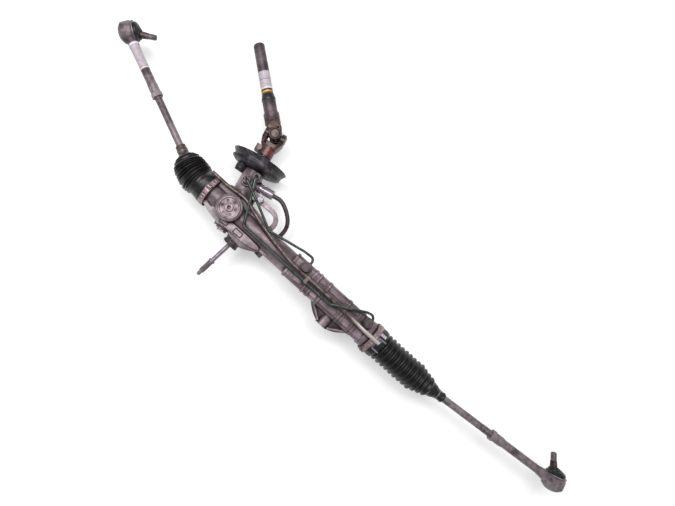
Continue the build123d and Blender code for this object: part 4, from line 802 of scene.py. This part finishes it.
# Plug tower: the housing's rim round the plug, drawn in the darker copy of the skin: painted shade.
tower_rim = ((24, 21.7), (33.2, 21.7), (33.3, 22.2), (33.2, 25.0), (32.4, 25.8), (24, 25.8))
collar("plug_tower_rim", place(4, 0, 0), None, tower_rim, 0, shaded_skin, "housing")


# Line ports: cast rims round the two unions of the valve housing, with painted shade, a dark sheet, in the
# wells inside them.
for port, (station, reach), rim in (("first", (-10, 62), 11.2), ("second", (0, 79), 9.4)):
    port_foot = place(station, reach, 11.5)
    rim_outline = (
        (-7, rim - 3.4), (-0.6, rim - 3.4), (0.4, rim - 2.8), (0.7, rim - 1.7), (0.2, rim - 0.6), (-1.0, rim),
        (-7, rim),
    )
    collar(f"{port}_port_rim", port_foot, None, rim_outline, 0, housing_skin, "housing")
    well = ((-4, 4.4), (-1.2, 4.4), (-1.2, rim - 3.3), (-4, rim - 3.3))
    collar(f"{port}_port_well", port_foot, None, well, 0, grime_and_shade_fill, "housing")


# Dust cover: a dished rubber cover with two flared lips and a crumpled drain neck at its back, grey-violet
# with dust.
cover_rubber = black_rubber_skin("dusty_cover_rubber", "#211d21", "#3c363d", "#5f5760", dust_from=0.52)
paint_nodes(cover_rubber, "dust_cover")
cover_foot = place(4, 0, -14.4)
valve_heading = 102.5
cover_outline = (
    (89, 16.7), (89, 24), (90.2, 34), (91.6, 42), (93.2, 47.6), (95.2, 51.5), (97.4, 54.2), (98.6, 54.6),
    (99.6, 53.6), (101.5, 52.0), (104.5, 52.4), (108, 55.0), (110.8, 57.3), (111.5, 57.4), (111.4, 56.3),
    (108.6, 53.2), (104.8, 50.0), (101.0, 49.2), (98.0, 48.4), (96.2, 44), (95.0, 34), (94, 24.5), (101, 22),
    (106, 20), (106, 16.7),
)


def cover_flare(along, turn, out):
    """The rear lip stands proud on one side only, and the whole rim waves by half a millimetre."""
    rear = np.exp(-(((along - 98.3) / 2.2) ** 2)) * (out > 50.5)
    wave = 0.5 * np.sin(2 * math.pi * 3 * turn + 1) * np.clip((out - 40) / 14, 0, 1)
    return rear * 1.8 * (np.cos(2 * math.pi * turn) - 1) + np.minimum(wave, 0)


cover = collar(
    "dust_cover_rubber", cover_foot, valve_heading, cover_outline, 0, cover_rubber, "housing", 160, cover_flare
)
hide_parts("dust_cover")


def tube(name, points, radii, finish, body, rows, columns, relief):
    """A round tube along the cubic B-spline of its control points, with radii from end to end and relief
    (a function of the share along and the turn) added to them."""
    knots = np.concatenate([[points[0]] * 2, points, [points[-1]] * 2])
    spot = np.linspace(0, len(knots) - 3 - 1e-6, rows)
    at, u = spot.astype(int), (spot % 1)[:, None]
    weights = ((1 - u) ** 3, 3 * u**3 - 6 * u**2 + 4, -3 * u**3 + 3 * u**2 + 3 * u + 1, u**3)
    line = sum(w * knots[at + k] for k, w in enumerate(weights)) / 6
    ahead = np.gradient(line, axis=0)
    ahead /= np.linalg.norm(ahead, axis=1, keepdims=True)
    side = np.cross((0.0, 0.0, 1.0), ahead)
    side /= np.linalg.norm(side, axis=1, keepdims=True)
    rise = np.cross(ahead, side)
    turns = np.arange(columns) / columns
    share = np.linspace(0, 1, rows)
    radius = np.interp(share, np.linspace(0, 1, len(radii)), radii)[:, None]
    radius = radius + relief(share[:, None], turns[None, :])
    angle = 2 * math.pi * turns[None, :, None]
    spoke = np.cos(angle) * side[:, None, :] + np.sin(angle) * rise[:, None, :]
    return skin(name, line[:, None, :] + radius[..., None] / 1000 * spoke, finish, body, capped=True)


def neck_folds(along, turn):
    """Four slanted creases, 0.9 mm deep, that fade toward the end."""
    return -0.9 * (0.5 + 0.5 * np.sin(2 * math.pi * (4 * along + turn))) * np.clip(1 - along, 0.2, 1)


snout_points = [
    cover_foot + (heading(valve_heading + 90) * out + heading(valve_heading) * along + np.array([0, 0, up])) / 1000
    for along, out, up in ((93, 27, 2), (88, 27.5, 2), (82, 28.5, 1), (75, 29, 0))
]
tube("dust_cover_drain_neck", snout_points, (12.5, 12.0, 10.5, 8.5), cover_rubber, "housing", 60, 48, neck_folds)


# Neck seal: a black lip seal pressed round the input shaft, with a groove below its collar.
seal_outline = (
    (106.1, 9.4), (106.1, 17.2), (107, 17.5), (110.4, 17.5), (111.4, 16.6), (112.4, 15.6), (113.4, 16.4),
    (114.4, 17), (117.6, 17), (119, 16), (121.4, 13.9), (122, 13.0), (122, 9.4),
)
seal = collar("neck_seal_rubber", cover_foot, valve_heading, seal_outline, 0, cover_rubber, "housing")
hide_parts("neck_seal")


# Pressure hose: formed rubber over braid, crimped at both ends, oily brown, with the braid's faint weave
# showing.
hose_rubber = black_rubber_skin("oily_hose_rubber", "#3a2a2b", "#57464a", "#231c1d", low=0.25, high=0.45)
paint_nodes(hose_rubber, "pressure_hose")


def braid(along, turn):
    """Two crossed sets of 12 strands, 0.12 mm from crest to root."""
    one_way = np.sin(2 * math.pi * (12 * turn + 90 * along))
    other_way = np.sin(2 * math.pi * (12 * turn - 90 * along))
    return 0.06 * one_way * other_way - 0.06


fitting_foot = cover_foot + heading(valve_heading) * 0.066
hose_points = [fitting_foot + heading(valve_heading - 90) * out / 1000 for out in (47, 55, 64, 76)]
hose_route = ((93, 66, -18), (107, 46, -24), (103, 20, -32), (99, -2, -32), (98, -14, -32))
hose_points += [place(*spot) for spot in hose_route]
hose = tube("pressure_hose_rubber", hose_points, (4.4, 4.4), hose_rubber, "housing", 260, 48, braid)
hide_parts("pressure_hose")


# Universal joint: forks forged from steel, glossy red-brown under oil, with a worn patch of red marking
# paint. The lower fork has a thin web in its throat, and each cup is held by a cap of swaged steel, dished
# and full of old grease. The upper cap and the cross's body are drawn in the dark fill: painted shade of
# the joint's hollows, with grease.
joint_spot = np.array([-32.578, 164.994])
joint_centre = place(*joint_spot, -14.4)
shaft_angle = 142.5
fork_skin = forged_steel_skin("oiled_forged_steel", "#402d2c", "#634b47", "#1a1010", low=0.3, high=0.5, coat=0.12)
over(fork_skin, "#7d3c3c", (-0.2935, 0.1800, 0.002), 0.008, 0.013, speckle=6)
paint_nodes(fork_skin, "lower_fork", "joint_cross")
# The upper yoke's tube is drawn, so it is grey, and turns oily brown near the joint.
yoke_skin = forged_steel_skin("drawn_tube_steel", "#5d5257", "#7d7176", "#3c3234")
over(yoke_skin, "#402d2c", joint_centre, 0.034, 0.050, speckle=5)
paint_nodes(yoke_skin, "upper_yoke")
down_pinion, across_pinion = np.array([0.21644, -0.97630]), np.array([0.97630, 0.21644])
throat_corners = ((26, -12.3), (26, 12.3), (13.6, 12.3), (13.6, -12.3))
throat = [joint_spot + down * down_pinion + across * across_pinion for down, across in throat_corners]
cast_plate("lower_fork_web", throat, -17.2, -11.6, 1.2, fork_skin, "pinion", soften=2)
drop = np.linspace(0, math.pi, 24)
cross_outline = np.stack([-11.6 * np.cos(drop), np.maximum(11.6 * np.sin(drop), 0.2)], -1)
# The cross's body: a dark ball, painted shade in the joint's hollow.
collar("joint_cross_body", joint_centre, None, cross_outline, 0, grime_and_shade_fill, "cross")
shoulder_outline = (
    (-11.5, 0), (-8, -8.5), (0, -13.5), (10, -15.5), (20, -13.5), (27, -8), (29, 0),
    (27, 8), (20, 13.5), (16, 14), (8, 10.5), (0, 10.5), (-8, 8),
)
shoulder = turned_plan(shoulder_outline, shaft_angle, joint_spot)
cast_plate("upper_yoke_shoulder", shoulder, -1.8, 7.1, 4.0, fork_skin, "shaft_tube", soften=6)
cast_plate("upper_yoke_under_shoulder", shoulder, -35.9, -27.0, 1.0, fork_skin, "shaft_tube", soften=6)
ear_face = joint_centre + np.array([0, 0, 0.0217])
eye_outline = ((-0.6, 9.0), (0.9, 9.0), (1.5, 9.5), (1.5, 10.9), (0.8, 11.7), (-0.6, 11.8))
collar("upper_ear_rim", ear_face, None, eye_outline, 0, fork_skin, "shaft_tube")
cup_outline = ((-0.5, 0.3), (-0.5, 8.9), (0.15, 8.9), (0.35, 7.6), (0.15, 5), (0.12, 0.3))
# The cup's cap: a dark disc, painted shade of its dish, with grease.
collar("upper_cup_cap", ear_face, None, cup_outline, 0, grime_and_shade_fill, "shaft_tube")


# Labels and paint bands: thin sleeves wrapped round the left rod's shank and the shaft, blank, scuffed
# and lilac, beside a yellow and a maroon paint band. A black lip seals the mouth of the slip tube.
def label_paper(name, field, edge, wear):
    """Blank film: faint 5 mm clouds, and worn 2 mm scratches that let the metal's grey through."""
    made, tree, shader, where = start_finish(name)
    cloud = mottle(tree, where, 5, 0.35, 0.70)
    drawn = add(tree, "ShaderNodeMapping", {"Scale": (0.3, 1.6, 1)}, {"Vector": where})
    scratch = mottle(tree, drawn.outputs[0], 2, 0.60, 0.68, detail=6)
    colour = blend_colours(tree, cloud, field, edge)
    tree.links.new(blend_colours(tree, scratch, colour, wear), shader.inputs["Base Color"])
    vary_roughness(tree, shader, cloud, 0.3, 0.5)
    raise_bumps(tree, shader, (scratch, 0.05, 0.4))
    return made


def wrap(name, foot, angle, length, ends, finish, body, thickness=0.22):
    """A sleeve 0.03 mm clear of what it is wrapped on, whose radius follows (distances, radii)."""

    def follow(along, turn, out):
        return np.interp(along, *ends) + 0 * turn

    return collar(name, foot, angle, loop_profile(length, thickness, 24), 0.03, finish, body, 96, follow)


lilac_film = label_paper("blank_label_film", "#b9adb8", "#cfc5cf", "#8a7f86")
white_film = label_paper("white_label_edge", "#efe9ee", "#d8d0d8", "#a79da3")
for name, start, length, ends, finish, thickness in (
    ("left_shank_label", 229, 46, ([0, 37, 52], [9.0, 9.0, 10.55]), lilac_film, 0.22),
    ("left_shank_label_near_edge", 225.8, 3, ([0, 3], [9.0, 9.0]), white_film, 0.35),
    ("left_shank_label_far_edge", 275.2, 4.6, ([0, 4.6], [9.95, 10.42]), white_film, 0.35),
):
    foot = left_inner_ball + heading(left_rod_angle) * start / 1000
    wrap(name, foot, left_rod_angle, length, ends, finish, "left_rod", thickness)
for name, start, length, finish in (
    ("shaft_yellow_band", 85.6, 3.4, moulded_plastic("yellow_paint_band", "#e3bb2c", "#b88a20")),
    ("shaft_maroon_band", 89.2, 2.8, moulded_plastic("maroon_paint_band", "#5a2a2c", "#3c1c1e")),
    ("shaft_label_edge", 92.4, 4.2, white_film),
    ("shaft_lower_label", 96.8, 14.0, lilac_film),
    ("shaft_upper_label", 111.6, 15.4, lilac_film),
):
    foot = joint_centre + heading(shaft_angle) * start / 1000
    wrap(name, foot, shaft_angle, length, ([0, length], [11.2, 11.2]), finish, "shaft_end")
mouth_lip = (
    (1.5, 0), (1.5, 0.3), (2.0, 0.5), (6.2, 0.5), (8.2, -0.2), (12.6, -1.1), (13.4, -1.2), (13.4, -1.6),
    (7.4, -1.6), (6.6, 0),
)
mouth_rubber = moulded_plastic("black_mouth_seal", "#1c191b", "#2a2628")
mouth_foot = joint_centre + heading(shaft_angle) * 0.0695
collar("slip_tube_mouth_seal", mouth_foot, shaft_angle, mouth_lip, 13.25, mouth_rubber, "shaft_tube")


# Vent fittings on the right cuff: a violet-grey steel bracket bent to a C, and a blank pale tag beside it.
cuff_top = 31.4
bracket_steel = worn_zinc("violet_grey_bracket", "#8d8290", "#6b6270", "#4a3a38")
bracket_plan = (
    (392, -14), (385, -14), (377, -14), (376, -12), (376, 0), (376, 7), (378, 9), (385, 9), (392, 9),
)
tag_plan = ((374, 17), (378, 17), (382, 17), (386, 17))
for name, plan, up, half_width, half_height, finish, steps, sharpness in (
    ("right_cuff_bracket", bracket_plan, (0, 0, 1), 1.6, 0.6, bracket_steel, 80, 4),
    ("right_cuff_tag", tag_plan, (0, 0.54, 0.84), 3.4, 0.4, lilac_film, 24, 8),
):
    path = [place(station, reach, math.sqrt(cuff_top**2 - reach**2)) for station, reach in plan]
    swept(name, path, up, half_width, half_height, finish, "housing", steps, sharpness)
